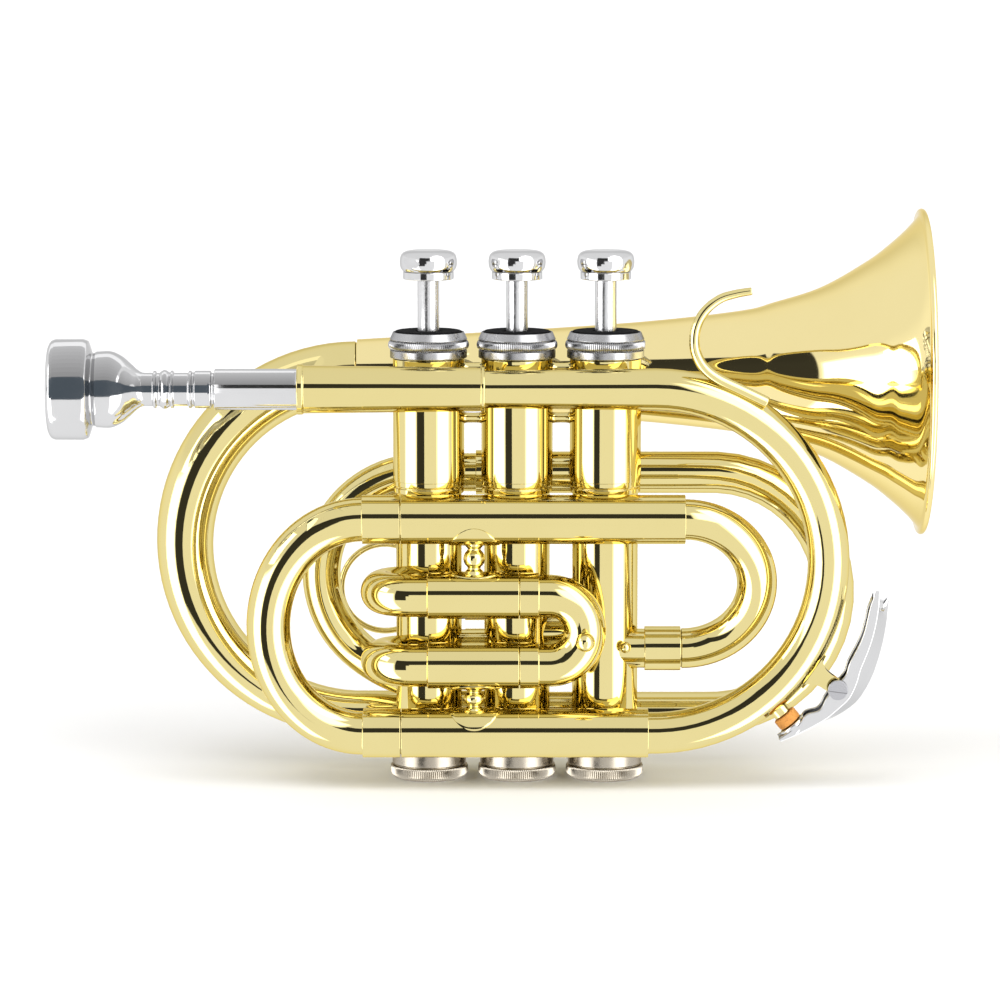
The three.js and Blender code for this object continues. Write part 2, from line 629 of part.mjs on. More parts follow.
function topCap() {
  const skirtTop = topCapBottom + TOP_CAP_SKIRT_HEIGHT;
  const knurlTop = skirtTop + TOP_KNURL_HEIGHT;
  const hole = STEM_RADIUS + SLIDE_GAP;
  return turned(
    [[NECK_RADIUS + FIT_GAP, topCapBottom], [TOP_CAP_SKIRT_RADIUS, topCapBottom],
      [TOP_CAP_SKIRT_RADIUS, skirtTop], [TOP_CAP_RADIUS, skirtTop], [TOP_CAP_RADIUS, knurlTop],
      [TOP_CAP_SHOULDER_RADIUS, knurlTop], [TOP_CAP_CROWN_RADIUS, crownTop],
      [TOP_CAP_RECESS_RADIUS, crownTop], [TOP_CAP_RECESS_RADIUS, roofTop], [hole, roofTop],
      [hole, roofBottom], [NECK_RADIUS + FIT_GAP, roofBottom]],
    VALVE_SIDES);
}

function bottomCap() {
  return turned(
    [[VENT_RADIUS, 0], [BOTTOM_CAP_FOOT_RADIUS, 0], [BOTTOM_CAP_RADIUS, BOTTOM_CAP_CHAMFER],
      [BOTTOM_CAP_RADIUS, BOTTOM_KNURL_TOP], [BOTTOM_CAP_BODY_RADIUS, BOTTOM_KNURL_TOP],
      [BOTTOM_CAP_BODY_RADIUS, BOTTOM_CAP_HEIGHT], [CASING_RADIUS + FIT_GAP, BOTTOM_CAP_HEIGHT],
      [CASING_RADIUS + FIT_GAP, BOTTOM_CAP_FLOOR], [VENT_RADIUS, BOTTOM_CAP_FLOOR]],
    VALVE_SIDES);
}

// Mouthpiece: rim, cup, throat and backbore turned about the leadpipe's line.
function mouthpiece() {
  const shares = (share) => share * MOUTHPIECE_LENGTH;
  const outside = [
    [CUP_RADIUS + RIM_ROUND, 0], [RIM_RADIUS - RIM_ROUND, 0], [RIM_RADIUS, RIM_ROUND],
    [RIM_RADIUS, RIM_WIDTH - RIM_ROUND], [CUP_BODY_RADIUS, shares(CUP_BODY_START_SHARE)],
    [CUP_BODY_RADIUS, shares(CUP_BODY_END_SHARE)],
    ...MOUTHPIECE_NECK_SHARES.map(([share, radius]) => [radius, shares(share)]),
    [SHANK_RADIUS, shares(SHANK_SEAT_SHARE)], [SHANK_END_RADIUS, MOUTHPIECE_LENGTH],
  ];
  const inside = [
    [BACKBORE_END_RADIUS, MOUTHPIECE_LENGTH], [THROAT_RADIUS, CUP_DEPTH + THROAT_LENGTH],
    [THROAT_RADIUS, CUP_DEPTH], [CUP_RADIUS * CUP_WAIST_SHARE, CUP_DEPTH / 2], [CUP_RADIUS, RIM_ROUND],
  ];
  return turnedAlong(
    AXIS_X, point(MOUTHPIECE_LEFT, FRONT_Y, LEADPIPE_HEIGHT), [...outside, ...inside], VALVE_SIDES);
}

function mouthpieceReceiver() {
  const collarEnd = RECEIVER_LEFT + RECEIVER_COLLAR_LENGTH;
  const shankEnd = MOUTHPIECE_LEFT + MOUTHPIECE_LENGTH;
  const leadpipeBore = LEADPIPE_START_RADIUS + FIT_GAP;
  return turnedAlong(
    AXIS_X, point(0, FRONT_Y, LEADPIPE_HEIGHT),
    [[SHANK_RADIUS + SLIDE_GAP, RECEIVER_LEFT], [RECEIVER_COLLAR_RADIUS, RECEIVER_LEFT],
      [RECEIVER_COLLAR_RADIUS, collarEnd], [RECEIVER_RADIUS, collarEnd],
      [RECEIVER_END_RADIUS, RECEIVER_RIGHT - RECEIVER_BEAD_LENGTH],
      [RECEIVER_BEAD_RADIUS, RECEIVER_RIGHT - RECEIVER_BEAD_LENGTH], [RECEIVER_BEAD_RADIUS, RECEIVER_RIGHT],
      [leadpipeBore, RECEIVER_RIGHT], [leadpipeBore, shankEnd + FIT_GAP],
      [SHANK_END_RADIUS + SLIDE_GAP, shankEnd]],
    VALVE_SIDES);
}

// Where something sits on the leadpipe bow: an angle round its centre and a reach from it.
function aroundBow(degrees, reach, sideways = 0) {
  const angle = THREE.MathUtils.degToRad(degrees);
  return point(
    leadpipeBowCentre.x + reach * Math.cos(angle), FRONT_Y + sideways,
    leadpipeBowCentre.z + reach * Math.sin(angle));
}

// The leadpipe's line, as stations whose outside is grown by a margin.
function leadpipeStations(margin, bored) {
  const bore = (outer) => (bored ? outer - TUBE_WALL : 0);
  const grown = (outer) => ({ outer: outer + margin, bore: bore(outer) });
  const start = grown(LEADPIPE_START_RADIUS);
  const end = grown(LEADPIPE_BOW_RADIUS);
  const bow = arc(
    leadpipeBowCentre, point(leadpipeBowReach, 0, 0), point(0, 0, leadpipeBowReach),
    90, -90, BOW_STEPS, () => end);
  const tail = point(LOWER_SLEEVE_RIGHT - SLEEVE_SPIGOT, FRONT_Y, LOWER_SLEEVE_HEIGHT);
  return [
    station(point(LEADPIPE_START, FRONT_Y, LEADPIPE_HEIGHT), AXIS_X, start.outer, start.bore),
    ...bow,
    station(tail, point(-1, 0, 0), end.outer, end.bore),
  ];
}

// Leadpipe with its bow, and the drilled nipple that the water key closes.
function leadpipe() {
  const nippleTop = leadpipeBowSurface + NIPPLE_HEIGHT;
  const nipple = bar(
    aroundBow(CORK_DEGREES, leadpipeBowReach), aroundBow(CORK_DEGREES, nippleTop), NIPPLE_RADIUS);
  const drain = bar(
    aroundBow(CORK_DEGREES, leadpipeBowReach), aroundBow(CORK_DEGREES, nippleTop + CUT_OVERRUN),
    DRAIN_RADIUS, ROD_SIDES);
  const tube = pipe(leadpipeStations(0, true));
  const air = pipe(leadpipeStations(-TUBE_WALL, false));
  const trimmedNipple = shaped(nipple, { cut: [air] });
  return shaped(tube, { add: [trimmedNipple], cut: [drain] });
}

function mainSleeve(height, right) {
  return straightTube(
    point(MAIN_SLEEVE_LEFT, FRONT_Y, height), point(right, FRONT_Y, height),
    MAIN_SLEEVE_RADIUS, frontSleeveBore);
}

// Main tuning slide: two legs, two ferrules and the U bow.
function mainTuningSlide() {
  const bore = mainLegRadius - TUBE_WALL;
  const ferruleRight = MAIN_SLEEVE_LEFT - FIT_GAP;
  const bowX = ferruleRight - MAIN_FERRULE_LENGTH;
  const legEnd = MAIN_SLEEVE_LEFT + MAIN_LEG_LENGTH;
  const half = (upperSleeveHeight - LOWER_SLEEVE_HEIGHT) / 2;
  const centre = point(bowX, FRONT_Y, (upperSleeveHeight + LOWER_SLEEVE_HEIGHT) / 2);
  const bow = arc(
    centre, point(0, 0, half), point(-MAIN_BOW_REACH, 0, 0), 0, 180, BOW_STEPS,
    even(MAIN_BOW_TUBE_RADIUS, bore));
  const leg = (height, way) => [
    station(point(legEnd, FRONT_Y, height), way, mainLegRadius, bore),
    station(point(ferruleRight, FRONT_Y, height), way, mainLegRadius, bore),
    station(point(ferruleRight, FRONT_Y, height), way, MAIN_SLEEVE_RADIUS, bore),
    station(point(bowX, FRONT_Y, height), way, MAIN_SLEEVE_RADIUS, bore),
  ];
  return pipe([
    ...leg(upperSleeveHeight, point(-1, 0, 0)), ...bow,
    ...leg(LOWER_SLEEVE_HEIGHT, AXIS_X).reverse(),
  ]);
}

// Return bow: from the upper sleeve down and inwards to the inlet of valve 3.
function returnBow() {
  const bore = RETURN_BOW_TUBE_RADIUS - TUBE_WALL;
  const spigotRadius = INLET_FERRULE_RADIUS - TUBE_WALL - SLIDE_GAP;
  const narrowBore = spigotRadius - TUBE_WALL;
  const top = point(UPPER_SLEEVE_RIGHT, FRONT_Y, upperSleeveHeight);
  const bottom = point(UPPER_SLEEVE_RIGHT, INLET_Y, INLET_HEIGHT);
  const centre = top.clone().add(bottom).divideScalar(2);
  const upward = top.clone().sub(centre);
  const bow = arc(
    centre, upward, point(upward.length(), 0, 0), 0, 180, BOW_STEPS, even(RETURN_BOW_TUBE_RADIUS, bore));
  const mouth = INLET_FERRULE_RIGHT + FIT_GAP;
  const back = point(-1, 0, 0);
  return pipe([
    station(top.clone().setX(UPPER_SLEEVE_RIGHT - SLEEVE_SPIGOT), AXIS_X, RETURN_BOW_TUBE_RADIUS, bore),
    ...bow,
    station(bottom.clone().setX(mouth), back, RETURN_BOW_TUBE_RADIUS, bore),
    station(bottom.clone().setX(mouth), back, spigotRadius, narrowBore),
    station(bottom.clone().setX(mouth - INLET_SPIGOT), back, spigotRadius, narrowBore),
  ]);
}

function valve3Inlet() {
  const line = (x) => point(x, INLET_Y, INLET_HEIGHT);
  const bore = INLET_TUBE_RADIUS - TUBE_WALL;
  const ferruleBore = INLET_FERRULE_RADIUS - TUBE_WALL;
  const shoulder = INLET_FERRULE_LEFT + INLET_SHOULDER;
  const casingX = valveX(VALVE_COUNT - 1) + CASING_RADIUS / 2;
  const tube = pipe([
    station(line(casingX), AXIS_X, INLET_TUBE_RADIUS, bore),
    station(line(INLET_FERRULE_LEFT), AXIS_X, INLET_TUBE_RADIUS, bore),
    station(line(INLET_FERRULE_LEFT), AXIS_X, INLET_FERRULE_RADIUS, bore),
    station(line(shoulder), AXIS_X, INLET_FERRULE_RADIUS, bore),
    station(line(shoulder), AXIS_X, INLET_FERRULE_RADIUS, ferruleBore),
    station(line(INLET_FERRULE_RIGHT), AXIS_X, INLET_FERRULE_RADIUS, ferruleBore),
  ]);
  return shaped(tube, { cut: [casingEnvelope(VALVE_COUNT - 1)] });
}

function valveLink(leftIndex, height) {
  const from = point(valveX(leftIndex) + CASING_RADIUS / 2, 0, height);
  const to = point(valveX(leftIndex + 1) - CASING_RADIUS / 2, 0, height);
  const tube = straightTube(from, to, LINK_RADIUS, LINK_RADIUS - TUBE_WALL);
  return shaped(tube, { cut: [casingEnvelope(leftIndex), casingEnvelope(leftIndex + 1)] });
}

// Outer tube of the first slide: the sleeve, and the knuckle that turns back to casing 1.
function firstSlideOuter(height) {
  const bore = VALVE_TUBE_RADIUS - TUBE_WALL;
  const way = point(-1, 0, 0);
  const half = -FRONT_Y / 2;
  const knuckle = arc(
    point(KNUCKLE_X, FRONT_Y + half, height), point(0, -half, 0), point(-half, 0, 0),
    0, 180, CROOK_STEPS, even(VALVE_TUBE_RADIUS, bore));
  const sleeveBore = VALVE_SLEEVE_RADIUS - TUBE_WALL;
  const tube = pipe([
    station(point(FIRST_SLEEVE_RIGHT, FRONT_Y, height), way, VALVE_SLEEVE_RADIUS, sleeveBore),
    station(point(FIRST_SLEEVE_LEFT, FRONT_Y, height), way, VALVE_SLEEVE_RADIUS, sleeveBore),
    station(point(FIRST_SLEEVE_LEFT, FRONT_Y, height), way, VALVE_TUBE_RADIUS, bore),
    ...knuckle,
  ]);
  return shaped(tube, { cut: [casingEnvelope(0)] });
}

// A valve slide: leg, ferrule, crook, ferrule, leg, in the plane of u and the pull direction.
function slideStations({ upper, lower, pull, ferruleEnd, ferruleLength, crookStart, legLength, radii }) {
  const bore = radii.leg - TUBE_WALL;
  const half = upper.clone().sub(lower).divideScalar(2);
  const middle = upper.clone().add(lower).divideScalar(2);
  const along = (base, distance) => base.clone().addScaledVector(pull, distance);
  const crook = arc(
    along(middle, crookStart), half, pull.clone().multiplyScalar(half.length()),
    0, 180, CROOK_STEPS, even(radii.crook, bore));
  const leg = (base, way) => [
    station(along(base, ferruleEnd - legLength), way, radii.leg, bore),
    station(along(base, ferruleEnd), way, radii.leg, bore),
    station(along(base, ferruleEnd), way, radii.ferrule, bore),
    station(along(base, ferruleEnd + ferruleLength), way, radii.ferrule, bore),
    station(along(base, ferruleEnd + ferruleLength), way, radii.crook, bore),
  ];
  return [...leg(upper, pull), ...crook, ...leg(lower, pull.clone().negate()).reverse()];
}

// A turned post with a ball on its end, used to pull a slide.
function pullKnob(base, way, seat) {
  const post = seat + KNOB_POST_LENGTH;
  const ballCentre = post + KNOB_RADIUS * KNOB_SEAT_SHARE;
  const ball = new THREE.SphereGeometry(KNOB_RADIUS, TUBE_SIDES, ROD_SIDES);
  const centre = base.clone().addScaledVector(way, ballCentre);
  ball.translate(centre.x, centre.y, centre.z);
  return [bar(base, base.clone().addScaledVector(way, ballCentre), KNOB_POST_RADIUS, ROD_SIDES), ball];
}

const firstRadii = { leg: valveLegRadius, ferrule: VALVE_SLEEVE_RADIUS, crook: VALVE_TUBE_RADIUS };
const rearRadii = { leg: rearLegRadius, ferrule: REAR_SLEEVE_RADIUS, crook: REAR_CROOK_TUBE_RADIUS };

const firstSlideShape = {
  upper: point(0, FRONT_Y, firstUpperHeight),
  lower: point(0, FRONT_Y, firstLowerHeight),
  pull: AXIS_X,
  ferruleEnd: FIRST_SLEEVE_RIGHT + FIT_GAP,
  ferruleLength: FIRST_FERRULE_LENGTH,
  crookStart: FIRST_CROOK_X,
  legLength: FIRST_LEG_LENGTH,
  radii: firstRadii,
};

const firstSlide = () => pipe(slideStations(firstSlideShape));

// The first slide's knob stands on the face of the crook, at its outermost bend.
function firstSlideKnob() {
  const half = (firstUpperHeight - firstLowerHeight) / 2;
  const height = firstLowerHeight + half - FIRST_KNOB_DROP;
  const base = point(FIRST_CROOK_X + half, FRONT_Y - VALVE_TUBE_RADIUS / 2, height);
  const parts = pullKnob(base, point(0, -1, 0), VALVE_TUBE_RADIUS / 2);
  const crook = pipe(slideStations({
    ...firstSlideShape,
    radii: { ...firstRadii, crook: VALVE_TUBE_RADIUS + FIT_GAP },
  }).map((entry) => ({ ...entry, bore: 0 })));
  return shaped(parts[0], { add: [parts[1]], cut: [crook] });
}

function secondSlideOuter(height) {
  const x = valveX(1);
  const tube = straightTube(
    point(x, CASING_RADIUS / 2, height), point(x, SECOND_SLEEVE_END, height),
    REAR_SLEEVE_RADIUS, REAR_SLEEVE_RADIUS - TUBE_WALL, TUBE_SIDES, AXIS_X);
  return shaped(tube, { cut: [casingEnvelope(1)] });
}

// Second slide: a short crook pulled to the rear, with its knob.
function secondSlide() {
  const x = valveX(1);
  const crookStart = SECOND_SLEEVE_END + FIT_GAP + SECOND_FERRULE_LENGTH;
  const stations = slideStations({
    upper: point(x, 0, secondUpperHeight),
    lower: point(x, 0, secondLowerHeight),
    pull: AXIS_Y,
    ferruleEnd: SECOND_SLEEVE_END + FIT_GAP,
    ferruleLength: SECOND_FERRULE_LENGTH,
    crookStart,
    legLength: SECOND_LEG_LENGTH,
    radii: rearRadii,
  });
  const half = (secondUpperHeight - secondLowerHeight) / 2;
  const tubeFace = crookStart + half + REAR_CROOK_TUBE_RADIUS;
  const base = point(x, tubeFace - TUBE_WALL / 2, secondLowerHeight + half);
  const [post, ball] = pullKnob(base, AXIS_Y, TUBE_WALL / 2);
  return shaped(pipe(stations, TUBE_SIDES, AXIS_X), { add: [post, ball] });
}

// Outer tube of the third slide: out of the back of casing 3, then left behind the valves.
function thirdSlideOuter(height) {
  const x = valveX(VALVE_COUNT - 1);
  const radius = REAR_SLEEVE_RADIUS;
  const bore = radius - TUBE_WALL;
  const elbow = arc(
    point(x - THIRD_ELBOW, THIRD_Y - THIRD_ELBOW, height),
    point(THIRD_ELBOW, 0, 0), point(0, THIRD_ELBOW, 0), 0, 90, ELBOW_STEPS, even(radius, bore));
  const tube = pipe([
    station(point(x, CASING_RADIUS / 2, height), AXIS_Y, radius, bore),
    ...elbow,
    station(point(THIRD_SLEEVE_END, THIRD_Y, height), point(-1, 0, 0), radius, bore),
  ], TUBE_SIDES, AXIS_X);
  return shaped(tube, { cut: [casingEnvelope(VALVE_COUNT - 1)] });
}

const thirdSlideShape = {
  upper: point(0, THIRD_Y, thirdUpperHeight),
  lower: point(0, THIRD_Y, THIRD_LOWER_HEIGHT),
  pull: point(-1, 0, 0),
  ferruleEnd: -THIRD_SLEEVE_END + FIT_GAP,
  ferruleLength: THIRD_FERRULE_LENGTH,
  crookStart: -THIRD_CROOK_X,
  legLength: THIRD_LEG_LENGTH,
  radii: rearRadii,
};

const thirdSlide = () => pipe(slideStations(thirdSlideShape));

// Wire finger ring, open where its two ends meet the crook of the third slide.
function thirdSlideRing() {
  const half = (thirdUpperHeight - THIRD_LOWER_HEIGHT) / 2;
  const crookReach = half + REAR_CROOK_TUBE_RADIUS;
  const distance = crookReach + FINGER_RING_RADIUS - FINGER_RING_BITE;
  const leaning = THREE.MathUtils.degToRad(FINGER_RING_DEGREES);
  const toCrook = new THREE.Vector2(-Math.cos(leaning), -Math.sin(leaning)).multiplyScalar(distance);
  const squares = FINGER_RING_RADIUS ** 2 + distance ** 2 - crookReach ** 2;
  const meeting = Math.acos(squares / (2 * FINGER_RING_RADIUS * distance));
  const halfCut = THREE.MathUtils.radToDeg(meeting - FINGER_RING_WIRE_RADIUS / FINGER_RING_RADIUS);
  const facing = THREE.MathUtils.radToDeg(toCrook.angle());
  const wire = pipe(arc(
    point(THIRD_CROOK_X - toCrook.x, THIRD_Y, THIRD_LOWER_HEIGHT + half - toCrook.y),
    point(FINGER_RING_RADIUS, 0, 0), point(0, 0, FINGER_RING_RADIUS),
    facing + halfCut, facing + FULL_TURN_DEGREES - halfCut, BOW_STEPS + CROOK_STEPS,
    even(FINGER_RING_WIRE_RADIUS, 0)), ROD_SIDES);
  const crook = pipe(slideStations({
    ...thirdSlideShape,
    radii: { ...rearRadii, crook: REAR_CROOK_TUBE_RADIUS + FIT_GAP },
  }).map((entry) => ({ ...entry, bore: 0 })));
  return shaped(wire, { cut: [crook] });
}

// From the back of casing 1 round the small left bend into the upper return tube.
function valve1Outlet() {
  const reach = (outletTop - OUTLET_BOTTOM) / 2;
  const bore = OUTLET_TUBE_RADIUS - TUBE_WALL;
  const bend = arc(
    point(OUTLET_BEND_X, OUTLET_Y, OUTLET_BOTTOM + reach), point(0, 0, reach), point(-reach, 0, 0),
    0, OUTLET_TURN_DEGREES, BOW_STEPS, even(OUTLET_TUBE_RADIUS, bore));
  drifting(bend, (share) => {
    const late = Math.max(0, (share - OUTLET_LEAN_SHARE) / (1 - OUTLET_LEAN_SHARE));
    return -(OUTLET_Y - OUTLET_PORT_Y) * late ** 2;
  });
  for (let i = 1; i < bend.length - 1; i += 1) {
    bend[i].along = bend[i + 1].at.clone().sub(bend[i - 1].at).normalize();
  }
  bend.at(-1).along = bend.at(-1).at.clone().sub(bend.at(-2).at).normalize();
  const tube = pipe([
    station(point(OUTLET_RIGHT, OUTLET_Y, outletTop), point(-1, 0, 0), OUTLET_TUBE_RADIUS, bore),
    ...bend,
  ]);
  return shaped(tube, { cut: [casingEnvelope(0)] });
}

// Rear bow: socket on the upper return tube, right-hand bow, and the start of the bottom tube.
function rearBow() {
  const bore = REAR_BOW_TUBE_RADIUS - TUBE_WALL;
  const socketBore = OUTLET_TUBE_RADIUS + FIT_GAP;
  const socketRadius = socketBore + TUBE_WALL;
  const socketLeft = OUTLET_RIGHT - REAR_SOCKET_LENGTH;
  const socketRight = OUTLET_RIGHT + FIT_GAP;
  const reach = (outletTop - BOTTOM_TUBE_HEIGHT) / 2;
  const upper = (x) => point(x, OUTLET_Y, outletTop);
  const bow = arc(
    point(REAR_BOW_X, OUTLET_Y, BOTTOM_TUBE_HEIGHT + reach), point(0, 0, reach), point(reach, 0, 0),
    0, 180, BOW_STEPS, even(REAR_BOW_TUBE_RADIUS, bore));
  drifting(bow, (share) => (BOTTOM_TUBE_Y - OUTLET_Y) * share);
  const end = point(BOTTOM_JOINT_X, BOTTOM_TUBE_Y, BOTTOM_TUBE_HEIGHT);
  return pipe([
    station(upper(socketLeft), AXIS_X, socketRadius, socketBore),
    station(upper(socketRight), AXIS_X, socketRadius, socketBore),
    station(upper(socketRight), AXIS_X, REAR_BOW_TUBE_RADIUS, bore),
    ...bow,
    station(end, point(-1, 0, 0), REAR_BOW_TUBE_RADIUS, bore),
  ]);
}

// Bell bow: from the bottom tube round the big left bow, growing into the tail of the bell.
function bellBow() {
  const socketBore = REAR_BOW_TUBE_RADIUS + FIT_GAP;
  const socketRadius = socketBore + TUBE_WALL;
  const socketRight = BOTTOM_JOINT_X + REAR_SOCKET_LENGTH;
  const socketLeft = BOTTOM_JOINT_X - FIT_GAP;
  const back = point(-1, 0, 0);
  const lower = (x) => point(x, BOTTOM_TUBE_Y, BOTTOM_TUBE_HEIGHT);
  const reach = (BELL_HEIGHT - BOTTOM_TUBE_HEIGHT) / 2;
  const bow = arc(
    point(BELL_BOW_X, BOTTOM_TUBE_Y, BOTTOM_TUBE_HEIGHT + reach), point(0, 0, -reach), point(-reach, 0, 0),
    0, 180, BOW_STEPS, tapering(BOTTOM_TUBE_RADIUS, BELL_BOW_END_RADIUS, TUBE_WALL));
  drifting(bow, (share) => (BELL_Y - BOTTOM_TUBE_Y) * share);
  const spigot = BELL_TAIL_RADIUS - TUBE_WALL - FIT_GAP;
  const top = (x) => point(x, BELL_Y, BELL_HEIGHT);
  return pipe([
    station(lower(socketRight), back, socketRadius, socketBore),
    station(lower(socketLeft), back, socketRadius, socketBore),
    station(lower(socketLeft), back, BOTTOM_TUBE_RADIUS, BOTTOM_TUBE_RADIUS - TUBE_WALL),
    ...bow,
    station(top(BELL_BOW_X + FIT_GAP), AXIS_X, spigot, spigot - TUBE_WALL),
    station(top(BELL_BOW_X + FIT_GAP + BELL_SPIGOT), AXIS_X, spigot, spigot - TUBE_WALL),
  ]);
}

// The bell's outside radius at points along it, from tail to rim.
function bellOutline(margin) {
  const left = BELL_BOW_X + 2 * FIT_GAP;
  const rimRadius = BELL_RADIUS - BELL_BEAD_RADIUS;
  return BELL_FLARE_SHARES.map(([lengthShare, riseShare]) => [
    THREE.MathUtils.lerp(BELL_TAIL_RADIUS, rimRadius, riseShare) + margin,
    THREE.MathUtils.lerp(left, BELL_RIM_X - BELL_BEAD_RADIUS, lengthShare),
  ]);
}

// Bell with its rolled rim, from behind the outer edge round to the inside of the flare.
function bell() {
  const [rimRadius, rimX] = bellOutline(0).at(-1);
  const bead = [];
  for (let i = 0; i <= BEAD_STEPS; i += 1) {
    const degrees = THREE.MathUtils.lerp(BEAD_FROM_DEGREES, BEAD_TO_DEGREES, i / BEAD_STEPS);
    const angle = THREE.MathUtils.degToRad(degrees);
    bead.push([rimRadius + BELL_BEAD_RADIUS * Math.sin(angle), rimX + BELL_BEAD_RADIUS * Math.cos(angle)]);
  }
  const outside = bellOutline(0).slice(0, -1);
  const inside = bellOutline(-TUBE_WALL).slice(0, -1).reverse();
  return turnedAlong(AXIS_X, point(0, BELL_Y, BELL_HEIGHT), [...outside, ...bead, ...inside], BELL_SIDES);
}

// A turned brace between two tubes along X, with a thin flange wrapped over each of them.
function frontBrace(upperHeight, upperRadius, lowerHeight, lowerRadius) {
  const top = upperHeight - upperRadius;
  const bottom = lowerHeight + lowerRadius;
  const endRadius = THREE.MathUtils.lerp(BRACE_WAIST_RADIUS, BRACE_BELLY_RADIUS, BRACE_SHARES[0][1]);
  const profile = BRACE_SHARES.map(([share, belly]) => [
    THREE.MathUtils.lerp(BRACE_WAIST_RADIUS, BRACE_BELLY_RADIUS, belly),
    THREE.MathUtils.lerp(bottom, top, share)]);
  const post = turnedAlong(
    AXIS_Z, point(BRACE_X, FRONT_Y, 0),
    [[0, lowerHeight], [endRadius, lowerHeight], ...profile, [endRadius, upperHeight], [0, upperHeight]],
    TUBE_SIDES);
  const reach = BRACE_FLANGE_LENGTH + CUT_OVERRUN;
  const left = (height) => point(BRACE_X - reach, FRONT_Y, height);
  const right = (height) => point(BRACE_X + reach, FRONT_Y, height);
  const flange = (height, radius, side) => {
    const depth = radius + FIT_GAP + BRACE_FLANGE_THICKNESS;
    const shell = toSolid(straightTube(left(height), right(height), depth, radius + FIT_GAP));
    const disc = new THREE.CylinderGeometry(1, 1, 1, VALVE_SIDES).rotateX(Math.PI / 2);
    disc.scale(BRACE_FLANGE_LENGTH, BRACE_FLANGE_WIDTH, depth);
    disc.translate(BRACE_X, FRONT_Y, height + side * depth / 2);
    return shell.intersect(toSolid(disc));
  };
  const clearUpper = bar(left(upperHeight), right(upperHeight), upperRadius + FIT_GAP);
  const clearLower = bar(left(lowerHeight), right(lowerHeight), lowerRadius + FIT_GAP);
  const solid = toSolid(post)
    .subtract(toSolid(clearUpper))
    .subtract(toSolid(clearLower))
    .add(flange(upperHeight, upperRadius, -1))
    .add(flange(lowerHeight, lowerRadius, 1));
  return toGeometry(solid);
}

// Short post between the barrel of casing 1 and the tail of the bell.
function bellBrace() {
  const x = valveX(0);
  const post = bar(
    point(x, 0, BELL_BRACE_HEIGHT), point(x, BELL_Y, BELL_HEIGHT - BELL_BRACE_DROP), BELL_BRACE_RADIUS);
  const barrel = turnedAlong(
    AXIS_Z, point(x, 0, 0),
    [[0, BARREL_BOTTOM], [BARREL_RADIUS + FIT_GAP, BARREL_BOTTOM], [BARREL_RADIUS + FIT_GAP, BARREL_TOP],
      [TOP_CAP_RADIUS + FIT_GAP, BARREL_TOP], [TOP_CAP_RADIUS + FIT_GAP, crownTop], [0, crownTop]],
    VALVE_SIDES);
  const outline = bellOutline(FIT_GAP);
  const tail = turnedAlong(
    AXIS_X, point(0, BELL_Y, BELL_HEIGHT),
    [[0, outline[0][1]], ...outline, [0, outline.at(-1)[1]]], BELL_SIDES);
  return shaped(post, { cut: [barrel, tail] });
}

// Finger hook: a rod that rises from a foot laid along the leadpipe bow.
function fingerHook() {
  const foot = aroundBow(HOOK_FOOT_DEGREES, leadpipeBowSurface + FIT_GAP, -HOOK_SIDEWAYS);
  const route = new THREE.CatmullRomCurve3(HOOK_SHARES.map(([across, up]) => (
    point(foot.x - across * HOOK_WIDTH, foot.y, foot.z + up * HOOK_HEIGHT))));
  const stations = [];
  for (let i = 0; i <= HOOK_STEPS; i += 1) {
    const share = i / HOOK_STEPS;
    const radius = THREE.MathUtils.lerp(HOOK_ROD_RADIUS, HOOK_TIP_RADIUS, share ** 2);
    stations.push(station(route.getPointAt(share), route.getTangentAt(share), radius, 0));
  }
  const clear = pipe(leadpipeStations(FIT_GAP, false));
  return shaped(pipe(stations, ROD_SIDES), { cut: [clear] });
}

// Outline of a plate in the plane of the leadpipe bow, as thick as its width along Y.
function plate(outline, width) {
  const shape = new THREE.Shape(outline.map((corner) => new THREE.Vector2(corner.x, corner.z)));
  const geometry = new THREE.ExtrudeGeometry(shape, { depth: width, bevelEnabled: false });
  geometry.rotateX(Math.PI / 2);
  return geometry.translate(0, FRONT_Y + width / 2, 0);
}

